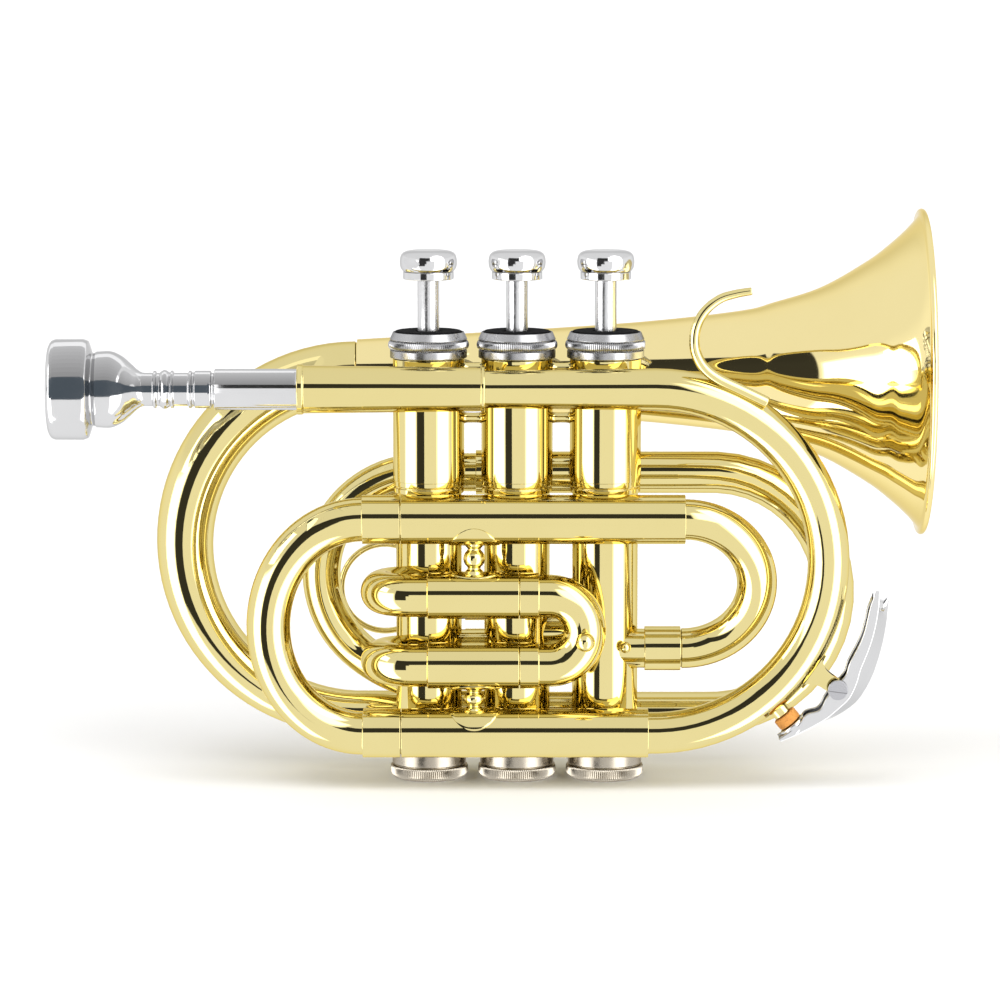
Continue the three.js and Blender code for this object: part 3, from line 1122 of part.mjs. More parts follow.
// Water key lever: a bent channel with two cheeks, and the round cup over the cork.
function waterKeyLever() {
  const edge = (share, reachShare, offset = 0) => aroundBow(
    THREE.MathUtils.lerp(PIVOT_DEGREES, CORK_DEGREES, share), pivotReach + reachShare * leverRise + offset);
  const cheekEdge = LEVER_SHARES.map(([share, cheek]) => edge(share, cheek));
  const plateEdge = LEVER_SHARES.map(([share, , back]) => edge(share, back));
  const innerEdge = LEVER_SHARES.map(([share, , back]) => edge(share, back, -LEVER_PLATE));
  const deepEdge = LEVER_SHARES.map(([share, cheek]) => edge(share, cheek, -CUT_OVERRUN));
  const body = plate([...cheekEdge, ...plateEdge.reverse()], LEVER_WIDTH);
  const channel = plate([...deepEdge, ...innerEdge.reverse()], LEVER_WIDTH - 2 * LEVER_PLATE);
  const cupBottom = corkTop + FIT_GAP;
  const cup = bar(
    aroundBow(CORK_DEGREES, cupBottom), aroundBow(CORK_DEGREES, cupBottom + LEVER_CUP_THICKNESS),
    LEVER_CUP_RADIUS);
  const cupStem = bar(
    aroundBow(CORK_DEGREES, cupBottom), aroundBow(CORK_DEGREES, pivotReach), LEVER_CUP_RADIUS / 2);
  const corkRoom = bar(
    aroundBow(CORK_DEGREES, leadpipeBowReach), aroundBow(CORK_DEGREES, cupBottom), CORK_RADIUS + FIT_GAP);
  const pin = bar(
    aroundBow(PIVOT_DEGREES, pivotReach, -LEVER_WIDTH), aroundBow(PIVOT_DEGREES, pivotReach, LEVER_WIDTH),
    SCREW_RADIUS + FIT_GAP, ROD_SIDES);
  const channelSolid = toSolid(body).subtract(toSolid(channel));
  const seated = channelSolid.add(toSolid(cupStem)).add(toSolid(cup));
  return toGeometry(seated.subtract(toSolid(corkRoom)).subtract(toSolid(pin)));
}

function waterKeyCork() {
  return bar(
    aroundBow(CORK_DEGREES, corkBottom), aroundBow(CORK_DEGREES, corkTop), CORK_RADIUS);
}

// Saddle: a foot curved over the bow and a boss drilled for the pivot screw.
function waterKeySaddle() {
  const halfAngle = THREE.MathUtils.radToDeg(SADDLE_LENGTH / 2 / pivotReach);
  const footTop = leadpipeBowSurface + FIT_GAP + SADDLE_FOOT_HEIGHT;
  const corner = (side, reach) => aroundBow(PIVOT_DEGREES + side * halfAngle, reach);
  const foot = plate(
    [corner(-1, leadpipeBowReach), corner(-1, footTop), aroundBow(PIVOT_DEGREES, footTop),
      corner(1, footTop), corner(1, leadpipeBowReach)],
    SADDLE_WIDTH);
  const narrow = THREE.MathUtils.radToDeg(SADDLE_BOSS_RADIUS / pivotReach);
  const web = plate(
    [aroundBow(PIVOT_DEGREES - narrow, leadpipeBowReach), aroundBow(PIVOT_DEGREES - narrow, pivotReach),
      aroundBow(PIVOT_DEGREES + narrow, pivotReach), aroundBow(PIVOT_DEGREES + narrow, leadpipeBowReach)],
    SADDLE_WIDTH);
  const across = (half) => [
    aroundBow(PIVOT_DEGREES, pivotReach, -half), aroundBow(PIVOT_DEGREES, pivotReach, half)];
  const boss = bar(...across(SADDLE_WIDTH / 2), SADDLE_BOSS_RADIUS);
  const hole = bar(...across(SADDLE_WIDTH), SCREW_RADIUS + FIT_GAP, ROD_SIDES);
  const clear = pipe(leadpipeStations(FIT_GAP, false));
  return shaped(foot, { add: [web, boss], cut: [clear, hole] });
}

function waterKeyScrew() {
  const half = LEVER_WIDTH / 2;
  const shaft = bar(
    aroundBow(PIVOT_DEGREES, pivotReach, -half - SCREW_HEAD_THICKNESS),
    aroundBow(PIVOT_DEGREES, pivotReach, half + FIT_GAP), SCREW_RADIUS, ROD_SIDES);
  const head = bar(
    aroundBow(PIVOT_DEGREES, pivotReach, -half - FIT_GAP - SCREW_HEAD_THICKNESS),
    aroundBow(PIVOT_DEGREES, pivotReach, -half - FIT_GAP), SCREW_HEAD_RADIUS);
  return shaped(head, { add: [shaft] });
}

const trumpet = new THREE.Group();

function place(parent, name, geometry, material) {
  const mesh = new THREE.Mesh(closedBody(geometry), material);
  mesh.name = name;
  parent.add(mesh);
}

for (let index = 0; index < VALVE_COUNT; index += 1) {
  const valve = new THREE.Group();
  valve.position.x = valveX(index);
  const number = index + 1;
  place(valve, `valve_casing_${number}`, casing(index), brass);
  place(valve, `piston_${number}`, piston(index), nickel);
  place(valve, `valve_guide_${number}`, valveGuide(), brass);
  place(valve, `valve_spring_${number}`, valveSpring(), steel);
  place(valve, `valve_stem_${number}`, valveStem(), silver);
  place(valve, `finger_button_${number}`, fingerButton(), silver);
  place(valve, `stem_felt_${number}`, stemFelt(), feltCloth);
  place(valve, `top_cap_${number}`, topCap(), silver);
  place(valve, `bottom_cap_${number}`, bottomCap(), nickel);
  trumpet.add(valve);
}

place(trumpet, 'mouthpiece', mouthpiece(), silver);
place(trumpet, 'mouthpiece_receiver', mouthpieceReceiver(), brass);
place(trumpet, 'leadpipe', leadpipe(), brass);
place(trumpet, 'lower_main_sleeve', mainSleeve(LOWER_SLEEVE_HEIGHT, LOWER_SLEEVE_RIGHT), brass);
place(trumpet, 'upper_main_sleeve', mainSleeve(upperSleeveHeight, UPPER_SLEEVE_RIGHT), brass);
place(trumpet, 'main_tuning_slide', mainTuningSlide(), brass);
place(trumpet, 'return_bow', returnBow(), brass);
place(trumpet, 'valve_3_inlet', valve3Inlet(), brass);
place(trumpet, 'valve_link_1_2', valveLink(0, LINK_1_2_HEIGHT), brass);
place(trumpet, 'valve_link_2_3', valveLink(1, LINK_2_3_HEIGHT), brass);
place(trumpet, 'first_slide_outer_upper', firstSlideOuter(firstUpperHeight), brass);
place(trumpet, 'first_slide_outer_lower', firstSlideOuter(firstLowerHeight), brass);
place(trumpet, 'first_slide', firstSlide(), brass);
place(trumpet, 'first_slide_knob', firstSlideKnob(), brass);
place(trumpet, 'second_slide_outer_upper', secondSlideOuter(secondUpperHeight), brass);
place(trumpet, 'second_slide_outer_lower', secondSlideOuter(secondLowerHeight), brass);
place(trumpet, 'second_slide', secondSlide(), brass);
place(trumpet, 'third_slide_outer_upper', thirdSlideOuter(thirdUpperHeight), brass);
place(trumpet, 'third_slide_outer_lower', thirdSlideOuter(THIRD_LOWER_HEIGHT), brass);
place(trumpet, 'third_slide', thirdSlide(), brass);
place(trumpet, 'third_slide_ring', thirdSlideRing(), brass);
place(trumpet, 'valve_1_outlet', valve1Outlet(), brass);
place(trumpet, 'rear_bow', rearBow(), brass);
place(trumpet, 'bell_bow', bellBow(), brass);
place(trumpet, 'bell', bell(), brass);
place(trumpet, 'front_brace_upper', frontBrace(
  upperSleeveHeight, MAIN_SLEEVE_RADIUS, firstUpperHeight, VALVE_SLEEVE_RADIUS), brass);
place(trumpet, 'front_brace_lower', frontBrace(
  firstLowerHeight, VALVE_SLEEVE_RADIUS, LOWER_SLEEVE_HEIGHT, MAIN_SLEEVE_RADIUS), brass);
place(trumpet, 'bell_brace', bellBrace(), brass);
place(trumpet, 'finger_hook', fingerHook(), brass);
place(trumpet, 'water_key_lever', waterKeyLever(), silver);
place(trumpet, 'water_key_cork', waterKeyCork(), cork);
place(trumpet, 'water_key_saddle', waterKeySaddle(), brass);
place(trumpet, 'water_key_screw', waterKeyScrew(), steel);

// The origin lies under the middle of the part's box, at the height of the bottom caps.
const group = new THREE.Group();
trumpet.updateMatrixWorld(true);
const box = new THREE.Box3().setFromObject(trumpet, true);
const middle = box.getCenter(new THREE.Vector3());
trumpet.position.set(-middle.x, -middle.y, -box.min.z);
group.add(trumpet);

export default group;
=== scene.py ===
"""Pocket trumpet: the finely modelled pieces, finishes, studio and camera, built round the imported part.
Lengths are millimetres in the part's construction frame: X from the middle valve towards the bell,
Y from the valves' axes away from the leadpipe, Z up from under the bottom caps."""
import json
import math

import bmesh
import bpy
from mathutils import Matrix, Vector

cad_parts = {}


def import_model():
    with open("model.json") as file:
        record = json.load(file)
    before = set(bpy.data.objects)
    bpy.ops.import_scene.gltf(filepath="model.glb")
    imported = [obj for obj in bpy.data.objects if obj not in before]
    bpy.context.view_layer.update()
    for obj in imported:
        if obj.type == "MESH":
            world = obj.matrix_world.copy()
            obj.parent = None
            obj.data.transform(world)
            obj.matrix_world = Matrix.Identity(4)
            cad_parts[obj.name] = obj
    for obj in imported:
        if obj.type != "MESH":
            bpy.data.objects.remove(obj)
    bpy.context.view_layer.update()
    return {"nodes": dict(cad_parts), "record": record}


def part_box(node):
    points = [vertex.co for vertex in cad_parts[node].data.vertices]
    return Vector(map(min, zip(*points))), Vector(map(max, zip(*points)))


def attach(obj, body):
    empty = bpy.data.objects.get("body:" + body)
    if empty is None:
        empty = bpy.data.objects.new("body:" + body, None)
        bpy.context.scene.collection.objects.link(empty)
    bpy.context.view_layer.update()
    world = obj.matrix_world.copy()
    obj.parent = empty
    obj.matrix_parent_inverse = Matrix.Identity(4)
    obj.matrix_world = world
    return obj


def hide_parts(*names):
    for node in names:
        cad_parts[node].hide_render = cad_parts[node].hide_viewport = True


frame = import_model()

MM = 0.001
casing_low, casing_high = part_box("valve_casing_2")
ORIGIN = Vector(((casing_low.x + casing_high.x) / 2, (casing_low.y + casing_high.y) / 2, 0))
X, Y, Z = Vector((1, 0, 0)), Vector((0, 1, 0)), Vector((0, 0, 1))

# How finely round shapes are divided
TUBE_SIDES = 48
TURNED_SIDES = 72
BELL_SIDES = 144
BEND_STEP = 4
FILLET = 0.14
FILLET_STEPS = 3
FILLET_SIDE_SHARE = 0.42
GUARD_SHARE = 0.1
PLAIN_DEGREES = 14
SHADE_DEGREES = 48
CUT_SHADE_DEGREES = 25
GAP = 0.3
WALL = 0.6

# Valves
VALVE_X = (-25.5, 0, 25.5)
CASING_RADIUS = 9.5
CASING_BORE = 8.6
CASING_BOTTOM = 2.3
CASING_FILLET = 0.6
CASING_BITE = 0.15
BARREL_RADIUS = 10.3
BARREL_BORE = 9.4
BARREL_BOTTOM = 86.9
BARREL_TOP = 122.2
RING_RADIUS = 10.15
RING_HEIGHT = 1.5
GROOVE_RADIUS = 9.75
GROOVE_HEIGHT = 0.5
NECK_RADIUS = 9.9
NECK_TOP = 126.6
STEM_RADIUS = 3.15
STEM_BOTTOM = 123.5
STEM_TOP = 144.9
FELT_RADIUS = 9.6
FELT_BOTTOM = 128.5
FELT_TOP = 130.3
BUTTON_RADIUS = 8.2
BUTTON_COLLAR = 7.3
BUTTON_BOTTOM = 145.1
BUTTON_COLLAR_TOP = 147.3
BUTTON_HEAD = 6.2
BUTTON_SHARES = [
    (0.9, 0.02), (0.97, 0.16), (1, 0.34), (1, 0.55), (0.95, 0.78), (0.82, 0.92), (0.6, 0.985), (0.3, 0.998),
]
BALL_RADIUS = 1.65
BALL_CENTRE = (31.2, -9.5, 39.35)
TIE_RADIUS = 1.5
TIE_Z = (105, 119.4)
KNURL_TEETH = 120
KNURL_DEPTH = 0.25

# Caps as (height, radius) points: a plain lower part, a knurled band and a plain upper part
BOTTOM_CAP = (
    [(0, 2), (0, 9.6), (0.35, 10.3)],
    [(0.5, 10.5), (1.2, 11.1), (2.3, 11.25), (3.3, 11.2)],
    [(3.6, 11.1), (3.75, 10.3), (4.05, 10.3), (4.15, 10.7), (7.8, 10.7), (7.8, 9.8), (2, 9.8), (2, 2)],
)
BOTTOM_CAP_FILLETS = (0.2, 0.2)
TOP_CAP = (
    [(122.5, 10.2), (122.5, 11.1), (124.65, 11.1), (124.85, 10.75)],
    [(125, 10.8), (125.25, 11.4), (126.2, 11.65), (127.15, 11.4), (127.45, 10.85)],
    [(127.6, 10.8), (127.75, 11.2), (129.9, 10.25), (129.9, 9.95), (128.2, 9.95), (128.2, 3.5),
     (126.9, 3.5), (126.9, 10.2)],
)
TOP_CAP_FILLETS = (0.25, 0.22)

# Front tubing
FRONT_Y = -17.4
LEADPIPE_Z = 115
LEADPIPE_START = -24
LEADPIPE_START_RADIUS = 5.15
LEADPIPE_RADIUS = 6
BOW_X = 39.5
SLEEVE_RADIUS = 7.06
SLEEVE_LEFT = -33.2
LOWER_Z = 15.75
LOWER_RIGHT = 37.6
UPPER_Z = 77.65
UPPER_RIGHT = 48
MAIN_LEG_RADIUS = 6.11
MAIN_LEG_END = 11.8
MAIN_BOW_RADIUS = 6.28
MAIN_BOW_REACH = 27
MAIN_FERRULE = 10.8
RETURN_RADIUS = 5.8
INLET_Z = 38.1
INLET_Y = -3
INLET_RADIUS = 5.7
INLET_FERRULE_RADIUS = 6.4
INLET_FERRULE = (36.9, 47.3)
BOW_REACH = (LEADPIPE_Z - LOWER_Z) / 2
BOW_Z = (LEADPIPE_Z + LOWER_Z) / 2
BOW_SURFACE = BOW_REACH + LEADPIPE_RADIUS

# Mouthpiece and receiver
MOUTHPIECE_LEFT = -133.5
MOUTHPIECE_LENGTH = 89
RIM_RADIUS = 14.35
RIM_WIDTH = 9.9
CUP_RADIUS = 8.3
CUP_DEPTH = 14
CUP_BODY_RADIUS = 10.9
TURNED_NECK = 4.75
TURNED_BEAD = 5.6
TURNED_RING = 5.35
SHANK_RADIUS = 5.85
SHANK_END_RADIUS = 5.3
THROAT_RADIUS = 1.9
BACKBORE_RADIUS = 4.4
RECEIVER = (-62.7, -9.2)
RECEIVER_COLLAR = 7.2
RECEIVER_RADIUS = 6.85
RECEIVER_END = 6.25
RECEIVER_BEAD = 6.6

# Valve slides
SLIDE_TUBE = 6.1
SLIDE_SLEEVE = 6.6
FIRST_Z = (55.6, 35.4)
KNUCKLE_X = -30.3
FIRST_SLEEVE = (-25.5, 0.5)
FIRST_FERRULE = 5.4
FIRST_CROOK_X = 9.3
FIRST_LEG = 24
FIRST_LEG_RADIUS = 5.65
KNOB_RADIUS = 2.75
KNOB_POST = 1.2
KNOB_POST_LENGTH = 1.6
KNOB_DROP = 1.8
REAR_SLEEVE = 6.3
REAR_CROOK = 5.9
REAR_LEG_RADIUS = 5.35
SECOND_Z = (74.1, 60.4)
SECOND_SLEEVE_END = 24
SECOND_FERRULE = 4
SECOND_LEG = 13
THIRD_Z = (47.5, 32.3)
THIRD_Y = 30
THIRD_ELBOW = 10
THIRD_SLEEVE_END = -9
THIRD_FERRULE = 6
THIRD_CROOK_X = -20.8
THIRD_LEG = 22
FINGER_RING_RADIUS = 13
FINGER_RING_WIRE = 0.9
FINGER_RING_BITE = 5.27
FINGER_RING_DEGREES = 148.5
LINK_RADIUS = 5.7
LINK_Z = (37.4, 42)

# Rear tubing and bell
OUTLET_RADIUS = 5.6
OUTLET_Y = 17
OUTLET_TOP = 87
OUTLET_BOTTOM = 27.4
OUTLET_BEND_X = -27.5
OUTLET_RIGHT = -4
OUTLET_PORT_Y = 5
OUTLET_TURN = 178
OUTLET_LEAN_SHARE = 0.75
REAR_BOW_X = 57.3
REAR_BOW_RADIUS = 6.1
REAR_SOCKET = 8
BOTTOM_Z = 15.5
BOTTOM_Y = 18
BOTTOM_RADIUS = 6.5
BOTTOM_JOINT_X = -8
BELL_BOW_X = -47.4
BELL_BOW_END = 8.9
BELL_Z = 115.8
BELL_Y = 25
BELL_TAIL = 9.5
BELL_RADIUS = 47.85
BELL_BEAD = 0.95
BELL_RIM_X = 119.5
BELL_SPIGOT = 6
BELL_FLARE_SHARES = [
    (0, 0), (0.28, 0.07), (0.51, 0.14), (0.68, 0.225), (0.74, 0.292), (0.823, 0.41),
    (0.902, 0.607), (0.943, 0.741), (0.978, 0.882), (1, 1),
]

# Braces, hook and water key
BRACE_X = -12.3
BRACE_WAIST = 1.7
BRACE_BELLY = 3.1
BRACE_SHARES = [
    (0, 0.9), (0.1, 0.55), (0.2, 0.1), (0.34, 0.75), (0.5, 1),
    (0.66, 0.75), (0.8, 0.1), (0.9, 0.55), (1, 0.9),
]
FLANGE_SHARES = [
    (0, 1), (0.35, 1), (0.6, 0.9), (0.8, 0.78), (0.92, 0.7), (0.97, 0.6), (1, 0.35), (1, 0), (0.9, 0), (0, 0),
]
FLANGE_SIDES = 48
FLANGE_LENGTH = 7.4
MAIN_FLANGE_WIDTH = 9.3
SLIDE_FLANGE_WIDTH = 4.2
FLANGE_HEIGHT = 0.4
BELL_BRACE_Z = 112
BELL_BRACE_RADIUS = 3
BELL_BRACE_SHARES = [
    (0, 1.25), (0.08, 1.2), (0.16, 0.75), (0.3, 0.7), (0.5, 1),
    (0.7, 0.7), (0.84, 0.75), (0.92, 1.2), (1, 1.25),
]
HOOK_DEGREES = 55.7
HOOK_WIDTH = 21
HOOK_HEIGHT = 31.8
HOOK_SIDEWAYS = 3.9
HOOK_RADIUS = 1.65
HOOK_TIP = 1.1
HOOK_SHARES = [
    (0, 0), (0.34, 0.108), (0.66, 0.21), (0.86, 0.315), (0.97, 0.45), (0.99, 0.585),
    (0.95, 0.71), (0.84, 0.83), (0.65, 0.93), (0.44, 0.975), (0.22, 1),
]
PIVOT_DEGREES = -34.8
PIVOT_REACH = 63.6
CORK_DEGREES = -50
CORK_RADIUS = 3.5
CORK_BOTTOM = BOW_SURFACE + 2.1
CORK_THICKNESS = 3
NIPPLE_RADIUS = 2.7
NIPPLE_HEIGHT = 1.8
LEVER_WIDTH = 8
LEVER_PLATE = 0.9
LEVER_RISE = 3.6
LEVER_CUP = 4.1
LEVER_CUP_THICKNESS = 2.8
LEVER_SHARES = [
    (1.33, -0.5, -0.2, 0.0), (0.9, -0.45, 0.3, 0.5), (0.68, -0.6, 0.58, 0.92), (0.47, -0.1, 0.84, 1.45),
    (0.24, -0.3, 1.02, 1.9), (0, -0.3, 1.19, 2.2), (-0.28, -0.1, 0.98, 2.2), (-0.51, -0.3, 0.72, 2.1),
    (-1.0, -0.2, 0.6, 1.75), (-1.5, -0.3, 0.42, 1.4), (-1.83, -0.1, 0.25, 1.3),
]
LEVER_STEPS = 7
LEVER_NOTCH = 4.6
LEVER_SLANT = 1.4
LEVER_FORK_ROWS = 8
EAR_THICKNESS = 1
SADDLE_WIDTH = 5.2
SADDLE_LENGTH = 13
SADDLE_BOSS = 2.4
SADDLE_FOOT = 1.8
SCREW_RADIUS = 1.2
SCREW_HEAD = 2.9
SCREW_HEAD_THICKNESS = 1.2
SCREW_SLOT = 0.55
SCREW_SLOT_DEGREES = 7.5
SCREW_SLOT_DROP = 0.4


def at(x, y, z):
    """A point of the construction frame, in metres in the part's frame."""
    return ORIGIN + Vector((x, y, z)) * MM


def lerp(low, high, share):
    return low + (high - low) * share


def smooth(points, per_span=6):
    """A Catmull-Rom curve through points, each a tuple of numbers."""
    rows = [Vector(p) for p in points]
    rows = [2 * rows[0] - rows[1], *rows, 2 * rows[-1] - rows[-2]]
    curve = []
    for before, start, end, after in zip(rows, rows[1:], rows[2:], rows[3:]):
        for i in range(per_span):
            t = i / per_span
            curve.append(0.5 * (2 * start + (end - before) * t
                                + (2 * before - 5 * start + 4 * end - after) * t ** 2
                                + (3 * start - before - 3 * end + after) * t ** 3))
    return [tuple(p) for p in curve] + [tuple(rows[-2])]


def rounded(outline, radius=FILLET, closed=True):
    """Softens the corners of a row of (place, radius) points, with a guard point on each side."""
    count = len(outline)
    made = []
    for i, corner in enumerate(outline):
        if not closed and i in (0, count - 1):
            made.append(tuple(corner))
            continue
        near = corner, outline[i - 1], outline[(i + 1) % count]
        here, before, after = (Vector(point[:2]) for point in near)
        back, ahead = before - here, after - here
        if min(back.length, ahead.length) < 1e-6:
            continue
        turn = math.pi - back.angle(ahead)
        if turn < math.radians(PLAIN_DEGREES):
            made.append(tuple(corner))
            continue
        reach = min(radius * math.tan(turn / 2), FILLET_SIDE_SHARE * min(back.length, ahead.length))
        first, last = here + back.normalized() * reach, here + ahead.normalized() * reach
        extra = tuple(corner[2:])
        made.append(tuple(first + back.normalized() * reach * GUARD_SHARE) + extra)
        for k in range(FILLET_STEPS + 1):
            t = k / FILLET_STEPS
            made.append(tuple(first * (1 - t) ** 2 + here * 2 * t * (1 - t) + last * t ** 2) + extra)
        made.append(tuple(last + ahead.normalized() * reach * GUARD_SHARE) + extra)
    return made


class Route:
    """A line through space, measured in millimetres along its length, with a frame that doesn't twist."""

    def __init__(self, start):
        self.points = [Vector(start)]

    def line(self, end):
        self.points.append(Vector(end))
        return self

    def bow(self, centre, u, v, start, end, drift=None):
        """An arc: centre plus u times the cosine plus v times the sine, from start to end degrees."""
        steps = max(8, round(abs(end - start) / 2))
        for i in range(steps + 1):
            share = i / steps
            angle = math.radians(lerp(start, end, share))
            place = Vector(centre) + Vector(u) * math.cos(angle) + Vector(v) * math.sin(angle)
            if drift:
                place.y += drift(share)
            if (place - self.points[-1]).length > 1e-4:
                self.points.append(place)
        return self

    def measured(self):
        points = self.points
        self.lengths = [0]
        for a, b in zip(points, points[1:]):
            self.lengths.append(self.lengths[-1] + (b - a).length)
        ways = [(b - a).normalized() for a, b in zip(points, points[1:])]
        self.ways = [ways[0], *[(a + b).normalized() for a, b in zip(ways, ways[1:])], ways[-1]]
        side = Y if abs(self.ways[0].y) < 0.9 else X
        self.sides = []
        for way in self.ways:
            side = (side - way * side.dot(way)).normalized()
            self.sides.append(side)
        self.turns = [0]
        for a, b in zip(self.ways, self.ways[1:]):
            self.turns.append(self.turns[-1] + math.degrees(a.angle(b, 0)))
        self.length = self.lengths[-1]
        return self

    def locate(self, place):
        """The stretch that holds a place along the route, and the share of it that lies before."""
        lengths = self.lengths
        low, high = 0, len(lengths) - 2
        while low < high:
            middle = (low + high + 1) // 2
            if lengths[middle] <= place:
                low = middle
            else:
                high = middle - 1
        return low, (place - lengths[low]) / (lengths[low + 1] - lengths[low])

    def frame(self, place):
        i, t = self.locate(place)
        point = self.points[i].lerp(self.points[i + 1], t)
        held = min(max(t, 0), 1)
        way = self.ways[i].lerp(self.ways[i + 1], held).normalized()
        side = self.sides[i].lerp(self.sides[i + 1], held)
        side = (side - way * side.dot(way)).normalized()
        return point, way, side, way.cross(side)

    def turned(self, place):
        i, t = self.locate(place)
        return lerp(self.turns[i], self.turns[i + 1], min(max(t, 0), 1))


def straight(start, end):
    return Route(start).line(end).measured()


def revolve(route, outline, sides=TUBE_SIDES, teeth=0, against=()):
    """Turns an outline of (place, radius, knurl depth) points about a route. It closes on itself, or on
    the line where its first and last radius are zero. Against holds (x, y, radius) of upright casings:
    what would lie inside one stops on its surface."""
    pointed = outline[0][1] == 0 and outline[-1][1] == 0
    loop = list(outline) if pointed else [*outline, outline[0]]
    rows = []
    for start, end in zip(loop, loop[1:]):
        turn = abs(route.turned(end[0]) - route.turned(start[0]))
        steps = max(1, math.ceil(turn / BEND_STEP))
        for k in range(steps):
            t = k / steps
            depth = lerp((*start, 0)[2], (*end, 0)[2], t)
            rows.append((lerp(start[0], end[0], t), lerp(start[1], end[1], t), depth))
    if pointed:
        rows.append((*loop[-1][:2], 0))
    verts, faces, rings = [], [], []
    for place, radius, depth in rows:
        point, way, side, across = route.frame(place)
        if radius == 0:
            rings.append([len(verts)] * sides)
            verts.append(point)
            continue
        rings.append(list(range(len(verts), len(verts) + sides)))
        for k in range(sides):
            angle = 2 * math.pi * k / sides
            r = radius - depth * (0.5 - 0.5 * math.cos(angle * teeth)) if teeth else radius
            corner = point + (side * math.cos(angle) + across * math.sin(angle)) * r
            verts.append(stopped(corner, way, against))
    pairs = zip(rings, rings[1:]) if pointed else zip(rings, [*rings[1:], rings[0]])
    for low, high in pairs:
        for k in range(sides):
            n = (k + 1) % sides
            face = [low[k], low[n], high[n], high[k]]
            kept = [v for i, v in enumerate(face) if v != face[i - 1]]
            if len(kept) > 2:
                faces.append(kept)
    return verts, faces


def stopped(corner, way, against):
    """Moves a point back along its tube until it lies outside every casing named."""
    for x, y, radius in against:
        offset = Vector((corner.x - x, corner.y - y))
        heading = Vector((way.x, way.y))
        if offset.length >= radius or heading.length < 1e-6:
            continue
        a = heading.length_squared
        b = offset.dot(heading)
        root = math.sqrt(b * b - a * (offset.length_squared - radius ** 2))
        steps = sorted(((-b - root) / a, (-b + root) / a), key=abs)
        corner = corner + way * steps[0]
    return corner


def hollow(outside, bore):
    """An outline of the outside points and of one bore through the same places."""
    return rounded([*outside, (outside[-1][0], bore), (outside[0][0], bore)])


def casings(*numbers):
    """The upright casings that a tube stops against, a little inside their surface."""
    return [(VALVE_X[number], 0, CASING_RADIUS - CASING_BITE) for number in numbers]


def ring_faces(rows, count):
    """The faces between neighbouring rows, each a closed ring of count points."""
    faces = []
    for i in range(rows - 1):
        for k in range(count):
            n = (k + 1) % count
            faces.append([i * count + k, i * count + n, (i + 1) * count + n, (i + 1) * count + k])
    return faces


def mesh_object(name, verts, faces):
    mesh = bpy.data.meshes.new(name)
    mesh.from_pydata(verts, [], faces)
    made = bpy.data.objects.new(name, mesh)
    bpy.context.scene.collection.objects.link(made)
    return made


def shade(mesh, sharp):
    """Welds a mesh, turns its faces out, and shades it smooth up to an angle."""
    tidy = bmesh.new()
    tidy.from_mesh(mesh)
    bmesh.ops.remove_doubles(tidy, verts=tidy.verts, dist=2e-7)
    bmesh.ops.recalc_face_normals(tidy, faces=tidy.faces)
    for edge in tidy.edges:
        edge.smooth = len(edge.link_faces) != 2 or edge.calc_face_angle() < math.radians(sharp)
    for face in tidy.faces:
        face.smooth = True
    tidy.to_mesh(mesh)
    tidy.free()


def piece(name, shells, body, slot, *nodes, finish=None):
    """Joins shells into one smooth object with its finish, on its body, in the place of CAD nodes."""
    verts, faces = [], []
    for shell_verts, shell_faces in shells:
        base = len(verts)
        verts += [ORIGIN + v * MM for v in shell_verts]
        faces += [[base + i for i in face] for face in shell_faces]
    made = mesh_object(name, verts, faces)
    shade(made.data, SHADE_DEGREES)
    made.data.materials.append(finishes[finish or slot])
    if nodes:
        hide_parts(*nodes)
    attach(made, body)
    return made


def shader(name):
    """A new material with its node maker and its surface shader."""
    material = bpy.data.materials.new(name)
    material.use_nodes = True
    tree = material.node_tree

    def node(kind, inputs=None, **settings):
        made = tree.nodes.new("ShaderNode" + kind)
        for key, value in settings.items():
            setattr(made, key, value)
        for key, value in (inputs or {}).items():
            if isinstance(value, bpy.types.NodeSocket):
                tree.links.new(value, made.inputs[key])
            else:
                made.inputs[key].default_value = value
        return made

    surface = tree.nodes["Principled BSDF"]
    return material, tree, node, surface


def mixed(node, factor, first, second):
    """A blend of two colours by a factor socket."""
    made = node("Mix", data_type="RGBA")
    made.id_data.links.new(factor, made.inputs[0])
    made.inputs[6].default_value = (*first, 1)
    made.inputs[7].default_value = (*second, 1)
    return made.outputs[2]


def metal(name, colour, darker, edge, roughness, wave):
    """Polished metal: faint colour drift, uneven polish, and the slight waves of a buffed surface."""
    material, tree, node, surface = shader(name)
    place = node("TexCoord").outputs["Object"]
    drift = node("TexNoise", {"Vector": place, "Scale": 38.0, "Detail": 3.0, "Roughness": 0.55})
    polish = node("TexNoise", {"Vector": place, "Scale": 420.0, "Detail": 4.0, "Roughness": 0.6})
    rough = node("MapRange", {"Value": polish.outputs["Fac"], "From Min": 0.3, "From Max": 0.7,
                              "To Min": roughness * 0.75, "To Max": roughness * 1.3})
    waves = node("TexNoise", {"Vector": place, "Scale": 70.0, "Detail": 1.0, "Roughness": 0.4})
    bump = node("Bump", {"Height": waves.outputs["Fac"], "Strength": 1.0, "Distance": wave * MM})
    tree.links.new(mixed(node, drift.outputs["Fac"], darker, colour), surface.inputs["Base Color"])
    tree.links.new(rough.outputs["Result"], surface.inputs["Roughness"])
    tree.links.new(bump.outputs["Normal"], surface.inputs["Normal"])
    surface.inputs["Metallic"].default_value = 1.0
    surface.inputs["Specular Tint"].default_value = (*edge, 1)
    return material


